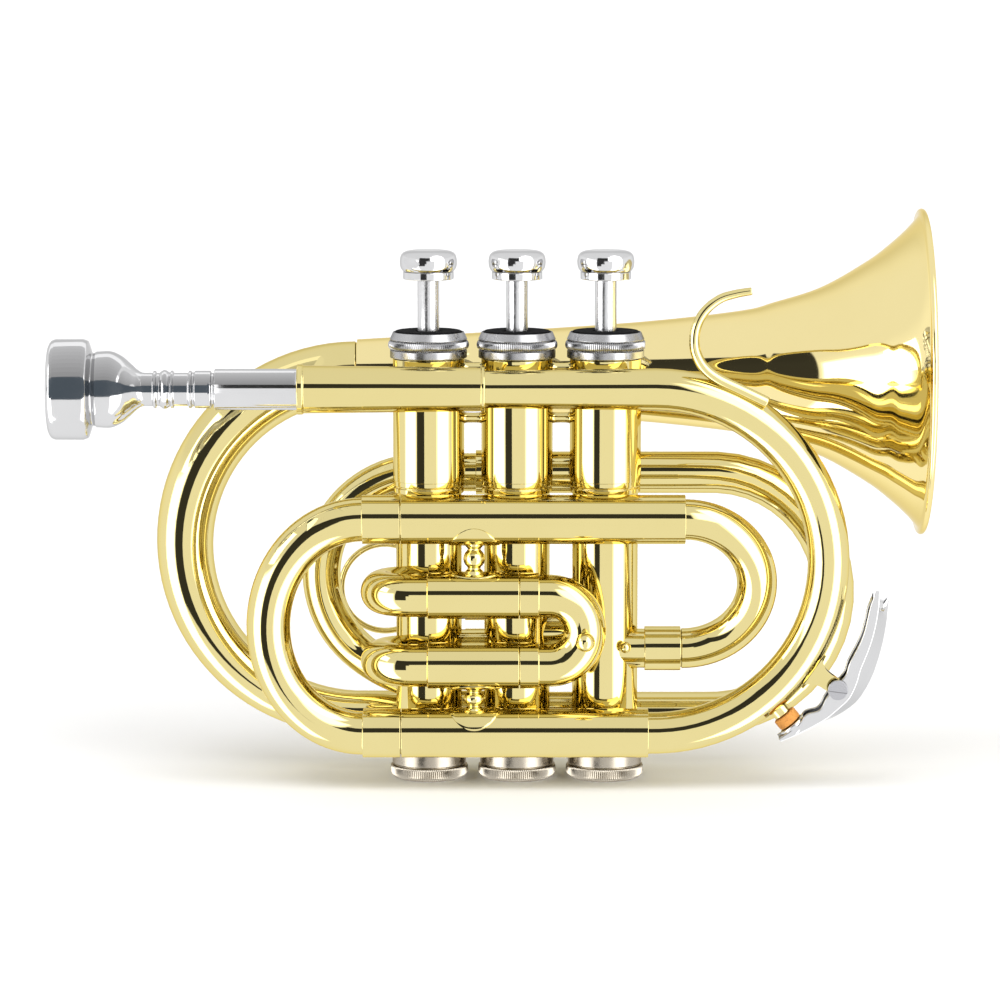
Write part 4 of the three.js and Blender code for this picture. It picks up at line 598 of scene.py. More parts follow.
def felt():
    """Pressed black wool: matted fibres, a soft sheen and a slightly uneven dye."""
    material, tree, node, surface = shader("black_felt")
    place = node("TexCoord").outputs["Object"]
    fibres = node("TexNoise", {"Vector": place, "Scale": 2600.0, "Detail": 5.0, "Roughness": 0.7})
    dye = node("TexNoise", {"Vector": place, "Scale": 300.0, "Detail": 3.0})
    bump = node("Bump", {"Height": fibres.outputs["Fac"], "Strength": 0.9, "Distance": 0.12 * MM})
    tree.links.new(mixed(node, dye.outputs["Fac"], (0.003, 0.003, 0.0035), (0.011, 0.011, 0.012)),
                   surface.inputs["Base Color"])
    tree.links.new(bump.outputs["Normal"], surface.inputs["Normal"])
    surface.inputs["Roughness"].default_value = 0.95
    surface.inputs["Specular IOR Level"].default_value = 0.05
    return material


def cork():
    """Orange cork with small dark pits."""
    material, tree, node, surface = shader("cork")
    place = node("TexCoord").outputs["Object"]
    grain = node("TexNoise", {"Vector": place, "Scale": 900.0, "Detail": 5.0, "Roughness": 0.65})
    pits = node("TexVoronoi", {"Vector": place, "Scale": 1300.0})
    pit = node("MapRange", {"Value": pits.outputs["Distance"], "From Min": 0.05, "From Max": 0.3})
    height = node("Math", {0: grain.outputs["Fac"], 1: pit.outputs["Result"]}, operation="MULTIPLY")
    bump = node("Bump", {"Height": height.outputs[0], "Strength": 0.8, "Distance": 0.15 * MM})
    tree.links.new(mixed(node, height.outputs[0], (0.42, 0.15, 0.03), (0.9, 0.42, 0.09)),
                   surface.inputs["Base Color"])
    tree.links.new(bump.outputs["Normal"], surface.inputs["Normal"])
    surface.inputs["Roughness"].default_value = 0.8
    return material


# Each metal's colour, its darker drift, its colour at grazing angles, its roughness and its wave height
METALS = {
    "lacquered_brass": ((0.7, 0.61, 0.29), (0.66, 0.56, 0.245), (0.89, 0.78, 0.47), 0.04, 0.05),
    "silver_plate": ((0.64, 0.64, 0.645), (0.57, 0.57, 0.58), (0.8, 0.8, 0.8), 0.09, 0.03),
    "nickel_silver": ((0.44, 0.4, 0.33), (0.35, 0.31, 0.25), (0.5, 0.45, 0.38), 0.28, 0.02),
    "spring_steel": ((0.5, 0.5, 0.52), (0.42, 0.42, 0.44), (0.6, 0.6, 0.6), 0.22, 0.02),
    "satin_silver": ((0.44, 0.44, 0.45), (0.37, 0.37, 0.38), (0.52, 0.52, 0.52), 0.25, 0.02),
    "soft_silver": ((0.64, 0.64, 0.65), (0.58, 0.58, 0.59), (0.75, 0.75, 0.75), 0.24, 0.02),
    "bell_brass": ((0.83, 0.71, 0.36), (0.79, 0.67, 0.32), (0.93, 0.82, 0.52), 0.04, 0.05),
}
finishes = {name: metal(name, *looks) for name, looks in METALS.items()}
finishes["black_felt"] = felt()
finishes["cork"] = cork()
for entry in frame["record"]["subparts"]:
    node_object = frame["nodes"][entry["node"]]
    node_object.data.materials.clear()
    node_object.data.materials.append(finishes[entry["material_slot"]])

BRASS, SILVER, NICKEL, STEEL = "lacquered_brass", "silver_plate", "nickel_silver", "spring_steel"


def upright(x, y=0):
    return straight((x, y, 0), (x, y, 1))


def casing(number, x):
    groove = BARREL_BOTTOM - RING_HEIGHT - GROOVE_HEIGHT
    body = rounded([
        (CASING_BOTTOM, CASING_BORE), (CASING_BOTTOM, CASING_RADIUS), (groove - RING_HEIGHT, CASING_RADIUS),
        (groove - RING_HEIGHT, RING_RADIUS), (groove, RING_RADIUS), (groove, GROOVE_RADIUS),
        (groove + GROOVE_HEIGHT, GROOVE_RADIUS), (groove + GROOVE_HEIGHT, RING_RADIUS),
        (BARREL_BOTTOM, RING_RADIUS), (BARREL_BOTTOM, BARREL_RADIUS), (BARREL_TOP, BARREL_RADIUS),
        (BARREL_TOP, NECK_RADIUS), (NECK_TOP, NECK_RADIUS), (NECK_TOP, BARREL_BORE),
        (BARREL_BOTTOM, BARREL_BORE), (BARREL_BOTTOM, CASING_BORE),
    ], CASING_FILLET)
    name = f"valve_casing_{number}"
    piece(f"turned_{name}", [revolve(upright(x), body, TURNED_SIDES)], "horn", BRASS, name)


def casing_details():
    """A solder ball on the front of casing 3, and small tie posts between neighbouring barrels."""
    ball = [(BALL_RADIUS * (1 - math.cos(math.pi * i / 12)), BALL_RADIUS * math.sin(math.pi * i / 12))
            for i in range(13)]
    ball[0], ball[-1] = (0, 0), (2 * BALL_RADIUS, 0)
    x, y, z = BALL_CENTRE
    route = straight((x, y + BALL_RADIUS, z), (x, y + BALL_RADIUS - 1, z))
    piece("solder_ball", [revolve(route, ball, 32)], "horn", BRASS)
    for number, (left, right) in enumerate(zip(VALVE_X, VALVE_X[1:]), 1):
        start, end = left + BARREL_RADIUS - 0.5, right - BARREL_RADIUS + 0.5
        post = smooth([(start, TIE_RADIUS * 1.3), (start + 1.2, TIE_RADIUS), (end - 1.2, TIE_RADIUS),
                       (end, TIE_RADIUS * 1.3)], 4)
        shells = [revolve(along_x(0, z), [(start, 0), *post, (end, 0)], 32) for z in TIE_Z]
        piece(f"barrel_ties_{number}", shells, "horn", BRASS)


def knurled_cap(name, x, parts, fillets, slot, finish=None):
    lower, band, upper = parts
    outline = rounded(lower, fillets[0], False)
    outline += [(z, r, KNURL_DEPTH) for z, r in smooth(band, 4)]
    outline += rounded(upper, fillets[1], False)
    shell = revolve(upright(x), outline, KNURL_TEETH * 4, KNURL_TEETH)
    piece(f"knurled_{name}", [shell], "horn", slot, name, finish=finish)


def felt_washer(number, x):
    outline = rounded([(FELT_BOTTOM, STEM_RADIUS + GAP), (FELT_BOTTOM, FELT_RADIUS),
                       (FELT_TOP, FELT_RADIUS), (FELT_TOP, STEM_RADIUS + GAP)], 0.6)
    name = f"stem_felt_{number}"
    piece(f"pressed_{name}", [revolve(upright(x), outline, TURNED_SIDES)], "horn", "black_felt", name)


def stem_and_button(number, x):
    body = f"valve_{number}"
    stem = rounded([(STEM_BOTTOM, 0), (STEM_BOTTOM, 5.4), (STEM_BOTTOM + 1.5, 5.4),
                    (STEM_BOTTOM + 1.5, STEM_RADIUS), (STEM_TOP, STEM_RADIUS), (STEM_TOP, 0)], 0.3, False)
    piece(f"turned_stem_{number}", [revolve(upright(x), stem, TURNED_SIDES)], body, SILVER,
          f"valve_stem_{number}", finish="soft_silver")
    head = smooth([(BUTTON_COLLAR_TOP + up * BUTTON_HEAD, across * BUTTON_RADIUS)
                   for across, up in BUTTON_SHARES], 5)
    top = BUTTON_COLLAR_TOP + BUTTON_HEAD
    collar = rounded([(BUTTON_BOTTOM, 0), (BUTTON_BOTTOM, BUTTON_COLLAR),
                      (BUTTON_COLLAR_TOP - 0.1, BUTTON_COLLAR),
                      (BUTTON_COLLAR_TOP, BUTTON_COLLAR - 0.35)], 0.25, False)
    shell = revolve(upright(x), [*collar, *head, (top, 0)], TURNED_SIDES)
    piece(f"domed_button_{number}", [shell], body, SILVER, f"finger_button_{number}")


def mouthpiece():
    route = straight((MOUTHPIECE_LEFT, FRONT_Y, LEADPIPE_Z), (MOUTHPIECE_LEFT + 1, FRONT_Y, LEADPIPE_Z))
    neck, bead, ring = TURNED_NECK, TURNED_BEAD, TURNED_RING
    shares = MOUTHPIECE_LENGTH
    cup = smooth([(0.155 * shares, CUP_BODY_RADIUS - 0.1), (0.2 * shares, CUP_BODY_RADIUS),
                  (0.235 * shares, 9.6), (0.262 * shares, 7.6), (0.285 * shares, 5.7),
                  (0.3 * shares, neck + 0.1)], 6)
    rim = rounded([(RIM_WIDTH + 0.2, RIM_RADIUS), (RIM_WIDTH + 1.6, RIM_RADIUS - 0.5),
                   (0.142 * shares, CUP_BODY_RADIUS - 0.6), (0.15 * shares, CUP_BODY_RADIUS - 0.4)],
                  0.8, False)
    face = smooth([(0.1, CUP_RADIUS + 3.1), (0.25, RIM_RADIUS - 1.7), (1, RIM_RADIUS - 0.5),
                   (2.2, RIM_RADIUS)], 6)
    beads = rounded([
        (0.31 * shares, neck), (0.335 * shares, neck), (0.338 * shares, ring), (0.345 * shares, ring),
        (0.348 * shares, neck), (0.356 * shares, neck), (0.366 * shares, bead - 0.2), (0.372 * shares, bead),
        (0.38 * shares, bead - 0.2), (0.39 * shares, neck), (0.393 * shares, ring), (0.4 * shares, ring),
        (0.403 * shares, neck), (0.448 * shares, neck), (0.451 * shares, ring), (0.458 * shares, ring),
        (0.461 * shares, neck + 0.1), (0.467 * shares, neck + 0.1), (0.47 * shares, ring),
        (0.52 * shares, ring), (0.523 * shares, neck), (0.53 * shares, neck), (0.533 * shares, SHANK_RADIUS),
        (0.78 * shares, SHANK_RADIUS), (shares, SHANK_END_RADIUS), (shares, BACKBORE_RADIUS),
        (19, THROAT_RADIUS), (CUP_DEPTH + 1, THROAT_RADIUS),
    ], 0.22, False)
    bowl = smooth([(CUP_DEPTH, THROAT_RADIUS + 0.6), (CUP_DEPTH - 2, 4.2), (8, 6.4), (4, 7.7),
                   (1.4, CUP_RADIUS), (0.45, CUP_RADIUS + 0.6), (0.1, CUP_RADIUS + 1.6)], 5)
    outline = [*face, *rim, *cup, *beads, *bowl]
    piece("turned_mouthpiece", [revolve(route, outline, 96)], "mouthpiece", SILVER, "mouthpiece")


def along_x(y, z):
    """A route along X, on which a place is its X."""
    return straight((0, y, z), (1, y, z))


def receiver():
    left, right = RECEIVER
    bore = SHANK_RADIUS + 0.35
    outline = rounded([(left, bore), (left, RECEIVER_COLLAR), (left + 1.6, RECEIVER_COLLAR),
                       (left + 1.9, RECEIVER_RADIUS), (right - 1.1, RECEIVER_END), (right - 1, RECEIVER_BEAD),
                       (right, RECEIVER_BEAD), (right, 5.45), (-44.2, 5.45), (-44.5, 5.65)], 0.3)
    piece("turned_receiver", [revolve(along_x(FRONT_Y, LEADPIPE_Z), outline, TURNED_SIDES)], "horn", BRASS,
          "mouthpiece_receiver")


def around_bow(degrees, reach, sideways=0.0):
    angle = math.radians(degrees)
    return Vector((BOW_X + reach * math.cos(angle), FRONT_Y + sideways, BOW_Z + reach * math.sin(angle)))


def leadpipe():
    route = Route((LEADPIPE_START, FRONT_Y, LEADPIPE_Z))
    route.bow((BOW_X, FRONT_Y, BOW_Z), X * BOW_REACH, Z * BOW_REACH, 90, -90)
    route.line((LOWER_RIGHT - 8, FRONT_Y, LOWER_Z)).measured()
    grown = BOW_X - LEADPIPE_START
    outside = [(0, LEADPIPE_START_RADIUS), (grown, LEADPIPE_RADIUS), (route.length, LEADPIPE_RADIUS)]
    inside = [(s, r - WALL) for s, r in reversed(outside)]
    nipple_route = straight(around_bow(CORK_DEGREES, BOW_REACH + 5),
                            around_bow(CORK_DEGREES, BOW_SURFACE + 9))
    rise = LEADPIPE_RADIUS - 5 + NIPPLE_HEIGHT
    nipple = rounded([(0, 1.2), (0, NIPPLE_RADIUS), (rise, NIPPLE_RADIUS), (rise, 1.2)], 0.3)
    shells = [revolve(route, rounded([*outside, *inside], 0.15)), revolve(nipple_route, nipple, 32)]
    piece("bent_leadpipe", shells, "horn", BRASS, "leadpipe")


def sleeve(name, z, right):
    outside = [(SLEEVE_LEFT, SLEEVE_RADIUS), (right, SLEEVE_RADIUS)]
    shell = revolve(along_x(FRONT_Y, z), hollow(outside, SLEEVE_RADIUS - WALL), TURNED_SIDES)
    piece(f"drawn_{name}", [shell], "horn", BRASS, name)


def main_slide():
    ferrule = SLEEVE_LEFT - GAP
    bow_x = ferrule - MAIN_FERRULE
    half = (UPPER_Z - LOWER_Z) / 2
    route = Route((MAIN_LEG_END, FRONT_Y, UPPER_Z))
    route.bow((bow_x, FRONT_Y, (UPPER_Z + LOWER_Z) / 2), Z * half, X * -MAIN_BOW_REACH, 0, 180)
    route.line((MAIN_LEG_END, FRONT_Y, LOWER_Z)).measured()
    leg = MAIN_LEG_END - ferrule
    outline = slide_outline(route, leg, MAIN_LEG_RADIUS, MAIN_FERRULE, SLEEVE_RADIUS, MAIN_BOW_RADIUS)
    piece("bent_tuning_slide", [revolve(route, outline)], "tuning_slide", BRASS, "main_tuning_slide")


def return_bow():
    top, bottom = Vector((UPPER_RIGHT, FRONT_Y, UPPER_Z)), Vector((UPPER_RIGHT, INLET_Y, INLET_Z))
    centre = (top + bottom) / 2
    upward = top - centre
    mouth = INLET_FERRULE[1] + GAP
    route = Route(top - X * 8).bow(centre, upward, X * upward.length, 0, 180)
    route.line((mouth - 6, INLET_Y, INLET_Z)).measured()
    spigot = INLET_FERRULE_RADIUS - WALL - 0.35
    end = route.length
    outside = [(0, RETURN_RADIUS), (end - 6, RETURN_RADIUS), (end - 6, spigot), (end, spigot)]
    shell = revolve(route, hollow(outside, spigot - WALL))
    piece("bent_return_bow", [shell], "horn", BRASS, "return_bow")


def inlet():
    start, end = INLET_FERRULE
    shoulder = start + 1.5
    bore = INLET_RADIUS - WALL
    outline = rounded([(VALVE_X[2] + 4, bore), (VALVE_X[2] + 4, INLET_RADIUS), (start, INLET_RADIUS),
                       (start, INLET_FERRULE_RADIUS), (end, INLET_FERRULE_RADIUS),
                       (end, INLET_FERRULE_RADIUS - WALL), (shoulder, INLET_FERRULE_RADIUS - WALL),
                       (shoulder, bore)])
    shell = revolve(along_x(INLET_Y, INLET_Z), outline, against=casings(2))
    piece("inlet_tube", [shell], "horn", BRASS, "valve_3_inlet")


def link(left, z, name):
    start, end = VALVE_X[left] + 4, VALVE_X[left + 1] - 4
    outline = hollow([(start, LINK_RADIUS), (end, LINK_RADIUS)], LINK_RADIUS - WALL)
    shell = revolve(along_x(0, z), outline, against=casings(left, left + 1))
    piece(f"drawn_{name}", [shell], "horn", BRASS, name)


def first_outer(z, name):
    half = -FRONT_Y / 2
    route = Route((FIRST_SLEEVE[1], FRONT_Y, z))
    route.bow((KNUCKLE_X, FRONT_Y + half, z), Y * -half, X * -half, 0, 180).measured()
    sleeve_end = FIRST_SLEEVE[1] - FIRST_SLEEVE[0]
    outside = [(0, SLIDE_SLEEVE), (sleeve_end, SLIDE_SLEEVE), (sleeve_end + 0.3, SLIDE_TUBE),
               (route.length, SLIDE_TUBE)]
    shell = revolve(route, hollow(outside, SLIDE_TUBE - WALL), against=casings(0))
    piece(f"bent_{name}", [shell], "horn", BRASS, name)


def slide_outline(route, leg, leg_radius, ferrule, ferrule_radius, crook_radius):
    one = [(0, leg_radius), (leg, leg_radius), (leg, ferrule_radius), (leg + ferrule, ferrule_radius),
           (leg + ferrule, crook_radius)]
    outside = [*one, *[(route.length - s, r) for s, r in reversed(one)]]
    return hollow(outside, leg_radius - WALL)


def slide_route(upper, lower, pull, leg_start, crook_start):
    half = (upper - lower) / 2
    middle = (upper + lower) / 2
    route = Route(upper + pull * leg_start)
    route.bow(middle + pull * crook_start, half, pull * half.length, 0, 180)
    return route.line(lower + pull * leg_start).measured()


def knob(base, way, seat=0.0):
    """A turned pull knob: a waisted post and a ball, from a point inside the tube's wall."""
    route = straight(base, base + way)
    tip = seat + KNOB_POST_LENGTH
    centre = tip + KNOB_RADIUS * 0.8
    start = math.radians(150)
    ball = []
    for i in range(15):
        angle = start * (1 - i / 14)
        ball.append((centre + KNOB_RADIUS * math.cos(angle), KNOB_RADIUS * math.sin(angle)))
    post = [(0, 0), (0, KNOB_POST * 1.6), (seat + 0.3, KNOB_POST * 1.6), (seat + 0.9, KNOB_POST)]
    return revolve(route, [*rounded(post, 0.3, False), *ball[:-1], (centre + KNOB_RADIUS, 0)], 40)


def first_slide():
    upper, lower = (Vector((0, FRONT_Y, z)) for z in FIRST_Z)
    ferrule_start = FIRST_SLEEVE[1] + GAP
    route = slide_route(upper, lower, X, ferrule_start - FIRST_LEG, FIRST_CROOK_X)
    outline = slide_outline(route, FIRST_LEG, FIRST_LEG_RADIUS, FIRST_FERRULE, SLIDE_SLEEVE, SLIDE_TUBE)
    piece("bent_first_slide", [revolve(route, outline)], "first_valve_slide", BRASS, "first_slide")
    half = (FIRST_Z[0] - FIRST_Z[1]) / 2
    base = Vector((FIRST_CROOK_X + half, FRONT_Y - SLIDE_TUBE + 0.4, FIRST_Z[1] + half - KNOB_DROP))
    piece("turned_first_knob", [knob(base, -Y, 0.4)], "first_valve_slide", BRASS, "first_slide_knob")


def second_slide():
    for z, name in zip(SECOND_Z, ("second_slide_outer_upper", "second_slide_outer_lower")):
        outline = hollow([(4, REAR_SLEEVE), (SECOND_SLEEVE_END, REAR_SLEEVE)], REAR_SLEEVE - WALL)
        shell = revolve(straight((0, 0, z), (0, 1, z)), outline, against=casings(1))
        piece(f"drawn_{name}", [shell], "horn", BRASS, name)
    upper, lower = (Vector((0, 0, z)) for z in SECOND_Z)
    ferrule_start = SECOND_SLEEVE_END + GAP
    crook = ferrule_start + SECOND_FERRULE
    route = slide_route(upper, lower, Y, ferrule_start - SECOND_LEG, crook)
    outline = slide_outline(route, SECOND_LEG, REAR_LEG_RADIUS, SECOND_FERRULE, REAR_SLEEVE, REAR_CROOK)
    half = (SECOND_Z[0] - SECOND_Z[1]) / 2
    base = Vector((0, crook + half + REAR_CROOK - 0.4, SECOND_Z[1] + half))
    piece("bent_second_slide", [revolve(route, outline), knob(base, Y, 0.4)], "second_valve_slide", BRASS,
          "second_slide")


def third_slide():
    x = VALVE_X[2]
    for z, name in zip(THIRD_Z, ("third_slide_outer_upper", "third_slide_outer_lower")):
        route = Route((x, 4, z))
        route.bow((x - THIRD_ELBOW, THIRD_Y - THIRD_ELBOW, z), X * THIRD_ELBOW, Y * THIRD_ELBOW, 0, 90)
        route.line((THIRD_SLEEVE_END, THIRD_Y, z)).measured()
        outline = hollow([(0, REAR_SLEEVE), (route.length, REAR_SLEEVE)], REAR_SLEEVE - WALL)
        shell = revolve(route, outline, against=casings(2))
        piece(f"bent_{name}", [shell], "horn", BRASS, name)
    upper, lower = (Vector((0, THIRD_Y, z)) for z in THIRD_Z)
    ferrule_start = -THIRD_SLEEVE_END + GAP
    route = slide_route(upper, lower, -X, ferrule_start - THIRD_LEG, -THIRD_CROOK_X)
    outline = slide_outline(route, THIRD_LEG, REAR_LEG_RADIUS, THIRD_FERRULE, REAR_SLEEVE, REAR_CROOK)
    piece("bent_third_slide", [revolve(route, outline)], "third_valve_slide", BRASS, "third_slide")


def finger_ring():
    half = (THIRD_Z[0] - THIRD_Z[1]) / 2
    crook_reach = half + REAR_CROOK
    distance = crook_reach + FINGER_RING_RADIUS - FINGER_RING_BITE
    lean = math.radians(FINGER_RING_DEGREES)
    radius = FINGER_RING_RADIUS
    centre = Vector((THIRD_CROOK_X + distance * math.cos(lean), THIRD_Y,
                     THIRD_Z[1] + half + distance * math.sin(lean)))
    squares = radius ** 2 + distance ** 2 - crook_reach ** 2
    cut = math.degrees(math.acos(squares / (2 * radius * distance)))
    cut += math.degrees(0.6 / radius)
    facing = FINGER_RING_DEGREES + 180
    route = Route(centre + Matrix.Rotation(-math.radians(facing + cut), 3, "Y") @ (X * radius))
    route.bow(centre, X * radius, Z * radius, facing + cut, facing + 360 - cut).measured()
    wire = FINGER_RING_WIRE
    outline = rounded([(0, 0), (0, wire), (route.length, wire), (route.length, 0)], 0.4, False)
    piece("wire_finger_ring", [revolve(route, outline, 24)], "third_valve_slide", BRASS, "third_slide_ring")


def outlet():
    reach = (OUTLET_TOP - OUTLET_BOTTOM) / 2

    def lean(share):
        late = max(0, (share - OUTLET_LEAN_SHARE) / (1 - OUTLET_LEAN_SHARE))
        return -(OUTLET_Y - OUTLET_PORT_Y) * late ** 2

    route = Route((OUTLET_RIGHT, OUTLET_Y, OUTLET_TOP))
    centre = (OUTLET_BEND_X, OUTLET_Y, OUTLET_BOTTOM + reach)
    route.bow(centre, Z * reach, X * -reach, 0, OUTLET_TURN, lean).measured()
    outline = hollow([(0, OUTLET_RADIUS), (route.length, OUTLET_RADIUS)], OUTLET_RADIUS - WALL)
    shell = revolve(route, outline, against=casings(0))
    piece("bent_outlet", [shell], "horn", BRASS, "valve_1_outlet")


def rear_bow():
    left, right = OUTLET_RIGHT - REAR_SOCKET, OUTLET_RIGHT + GAP
    socket_bore = OUTLET_RADIUS + GAP
    reach = (OUTLET_TOP - BOTTOM_Z) / 2
    route = Route((left, OUTLET_Y, OUTLET_TOP))
    route.bow((REAR_BOW_X, OUTLET_Y, BOTTOM_Z + reach), Z * reach, X * reach, 0, 180,
              lambda share: (BOTTOM_Y - OUTLET_Y) * share)
    route.line((BOTTOM_JOINT_X, BOTTOM_Y, BOTTOM_Z)).measured()
    bore = REAR_BOW_RADIUS - WALL
    outline = rounded([
        (0, socket_bore), (0, socket_bore + WALL), (right - left, socket_bore + WALL),
        (right - left + 0.2, REAR_BOW_RADIUS), (route.length, REAR_BOW_RADIUS), (route.length, bore),
        (right - left, bore), (right - left, socket_bore)])
    piece("bent_rear_bow", [revolve(route, outline)], "horn", BRASS, "rear_bow")


def bell_bow():
    socket_bore = REAR_BOW_RADIUS + GAP
    right, left = BOTTOM_JOINT_X + REAR_SOCKET, BOTTOM_JOINT_X - GAP
    reach = (BELL_Z - BOTTOM_Z) / 2
    route = Route((right, BOTTOM_Y, BOTTOM_Z))
    route.bow((BELL_BOW_X, BOTTOM_Y, BOTTOM_Z + reach), Z * -reach, X * -reach, 0, 180,
              lambda share: (BELL_Y - BOTTOM_Y) * share)
    route.line((BELL_BOW_X + GAP + BELL_SPIGOT, BELL_Y, BELL_Z)).measured()
    straight_length = right - BELL_BOW_X
    bend = route.length - straight_length - GAP - BELL_SPIGOT
    socket = right - left
    spigot = BELL_TAIL - WALL - GAP
    grown = [(straight_length + bend * share, lerp(BOTTOM_RADIUS, BELL_BOW_END, share * (2 - share)))
             for share in (i / 24 for i in range(25))]
    outside = [(0, socket_bore + WALL), (socket, socket_bore + WALL), (socket + 0.2, BOTTOM_RADIUS), *grown,
               (straight_length + bend + GAP, spigot), (route.length, spigot)]
    inside = [(s, min(r, spigot) - WALL) for s, r in reversed(grown)]
    outline = rounded([*outside, (route.length, spigot - WALL), *inside, (socket, BOTTOM_RADIUS - WALL),
                       (socket, socket_bore), (0, socket_bore)], 0.2)
    piece("bent_bell_bow", [revolve(route, outline, 64)], "horn", BRASS, "bell_bow")


def bell():
    left = BELL_BOW_X + 2 * GAP
    rim_x, rim_radius = BELL_RIM_X - BELL_BEAD, BELL_RADIUS - BELL_BEAD
    flare = smooth([(lerp(left, rim_x, along), lerp(BELL_TAIL, rim_radius, rise))
                    for along, rise in BELL_FLARE_SHARES], 8)
    bead = []
    for i in range(13):
        angle = math.radians(lerp(150, -90, i / 12))
        bead.append((rim_x + BELL_BEAD * math.cos(angle), rim_radius + BELL_BEAD * math.sin(angle)))
    inside = [(x, r - WALL) for x, r in reversed(flare[:-2])]
    outline = [*flare[:-2], *bead, *inside]
    shell = revolve(along_x(BELL_Y, BELL_Z), outline, BELL_SIDES)
    piece("spun_bell", [shell], "horn", BRASS, "bell", finish="bell_brass")


def flange(x, z, radius, side, width):
    """A thin leaf of metal, an oval wrapped over a tube along X, on its upper or lower side."""
    verts = []
    for share, rise in FLANGE_SHARES:
        for k in range(FLANGE_SIDES):
            angle = 2 * math.pi * k / FLANGE_SIDES
            sweep = width * share * math.sin(angle) / radius
            height = radius + 0.04 + rise * FLANGE_HEIGHT
            verts.append(Vector((x + FLANGE_LENGTH * share * math.cos(angle),
                                 FRONT_Y + height * math.sin(sweep), z + side * height * math.cos(sweep))))
    return verts, ring_faces(len(FLANGE_SHARES), FLANGE_SIDES)


def front_brace(name, upper, upper_radius, lower, lower_radius):
    """A turned post between two tubes along X, with a leaf on each: a wide one on a main sleeve."""
    top, bottom = upper - upper_radius, lower + lower_radius
    widths = {SLEEVE_RADIUS: MAIN_FLANGE_WIDTH, SLIDE_SLEEVE: SLIDE_FLANGE_WIDTH}
    belly = smooth([(lerp(bottom - 0.3, top + 0.3, share), lerp(BRACE_WAIST, BRACE_BELLY, rise))
                    for share, rise in BRACE_SHARES], 8)
    post = [(belly[0][0], 0), *belly, (belly[-1][0], 0)]
    shells = [revolve(upright(BRACE_X, FRONT_Y), post, 48),
              flange(BRACE_X, upper, upper_radius, -1, widths[upper_radius]),
              flange(BRACE_X, lower, lower_radius, 1, widths[lower_radius])]
    piece(f"turned_{name}", shells, "horn", BRASS, name)


def bell_brace():
    x = VALVE_X[0]
    start, end = BARREL_RADIUS - 0.3, BELL_Y - BELL_TAIL + 1.6
    belly = smooth([(lerp(start, end, share), BELL_BRACE_RADIUS * wide)
                    for share, wide in BELL_BRACE_SHARES], 6)
    route = straight((x, 0, BELL_BRACE_Z), (x, 1, BELL_BRACE_Z))
    shell = revolve(route, [(start, 0), *belly, (end, 0)], 48)
    piece("turned_bell_brace", [shell], "horn", BRASS, "bell_brace")


def finger_hook():
    foot = around_bow(HOOK_DEGREES, BOW_SURFACE + GAP, -HOOK_SIDEWAYS)
    points = [(foot.x - across * HOOK_WIDTH, foot.y, foot.z + up * HOOK_HEIGHT) for across, up in HOOK_SHARES]
    route = Route(points[0])
    for point in smooth(points, 10)[1:]:
        route.line(point)
    route.measured()
    rod = [(route.length * i / 40, lerp(HOOK_RADIUS, HOOK_TIP, (i / 40) ** 2)) for i in range(41)]
    outline = [*rounded([(0, 0), rod[0], rod[1]], 0.35, False)[:-1], *rod[1:-1]]
    end, tip = rod[-1]
    outline += rounded([rod[-2], (end, tip), (end, 0)], 0.3, False)[1:]
    piece("bent_finger_hook", [revolve(route, outline, 32)], "horn", BRASS, "finger_hook")


def lever_section(edge, shoulder, top):
    """The channel's outline in (reach, sideways) points, with its back divided for the fork. Its outer
    and inner halves have as many points, so that the ends close between them."""
    half, plate = LEVER_WIDTH / 2, LEVER_PLATE
    under, inside = (top - plate * 1.3, half - plate), (shoulder - plate * 0.6, plate - half)
    outer = [(edge, -half), *divided((shoulder, -half), (top, half)), (edge, half)]
    inner = [(edge, half - plate), *divided(under, inside), (edge, plate - half)]
    return rounded([*outer, *inner], 0.35)


def divided(start, end):
    shares = [k / LEVER_STEPS for k in range(LEVER_STEPS + 1)]
    return [(lerp(start[0], end[0], share), lerp(start[1], end[1], share)) for share in shares]


def water_key_lever():
    """A pressed channel: its near cheek is lower than the far one, so its sloping back shows beside it,
    and its thumb end is cut to a shallow fork."""
    verts = []
    rows = smooth(LEVER_SHARES, 6)
    half = LEVER_WIDTH / 2
    for i, (share, cheek, ridge, back) in enumerate(rows):
        degrees = lerp(PIVOT_DEGREES, CORK_DEGREES, share)
        fork = max(0, 1 - (len(rows) - 1 - i) / LEVER_FORK_ROWS)
        section = lever_section(*(PIVOT_REACH + level * LEVER_RISE for level in (cheek, ridge, back)))
        for reach, sideways in section:
            across = min(max((sideways + half) / LEVER_WIDTH, 0), 1)
            cut = LEVER_NOTCH * min(1, 1.5 * math.sin(math.pi * across)) + LEVER_SLANT * across
            verts.append(around_bow(degrees - fork * cut, reach, sideways))
    count = len(section)
    faces = ring_faces(len(rows), count)
    for start in (0, (len(rows) - 1) * count):
        for k in range(count // 2 - 1):
            faces.append([start + k, start + k + 1, start + count - 2 - k, start + count - 1 - k])
    cup_bottom = CORK_BOTTOM + CORK_THICKNESS + GAP
    route = straight(around_bow(CORK_DEGREES, 0), around_bow(CORK_DEGREES, 1))
    cup = rounded([(cup_bottom, 0), (cup_bottom, LEVER_CUP), (cup_bottom + LEVER_CUP_THICKNESS, LEVER_CUP),
                   (cup_bottom + LEVER_CUP_THICKNESS, 0)], 0.5, False)
    piece("pressed_water_key_lever", [(verts, faces), revolve(route, cup, 48)], "water_key", SILVER,
          "water_key_lever")


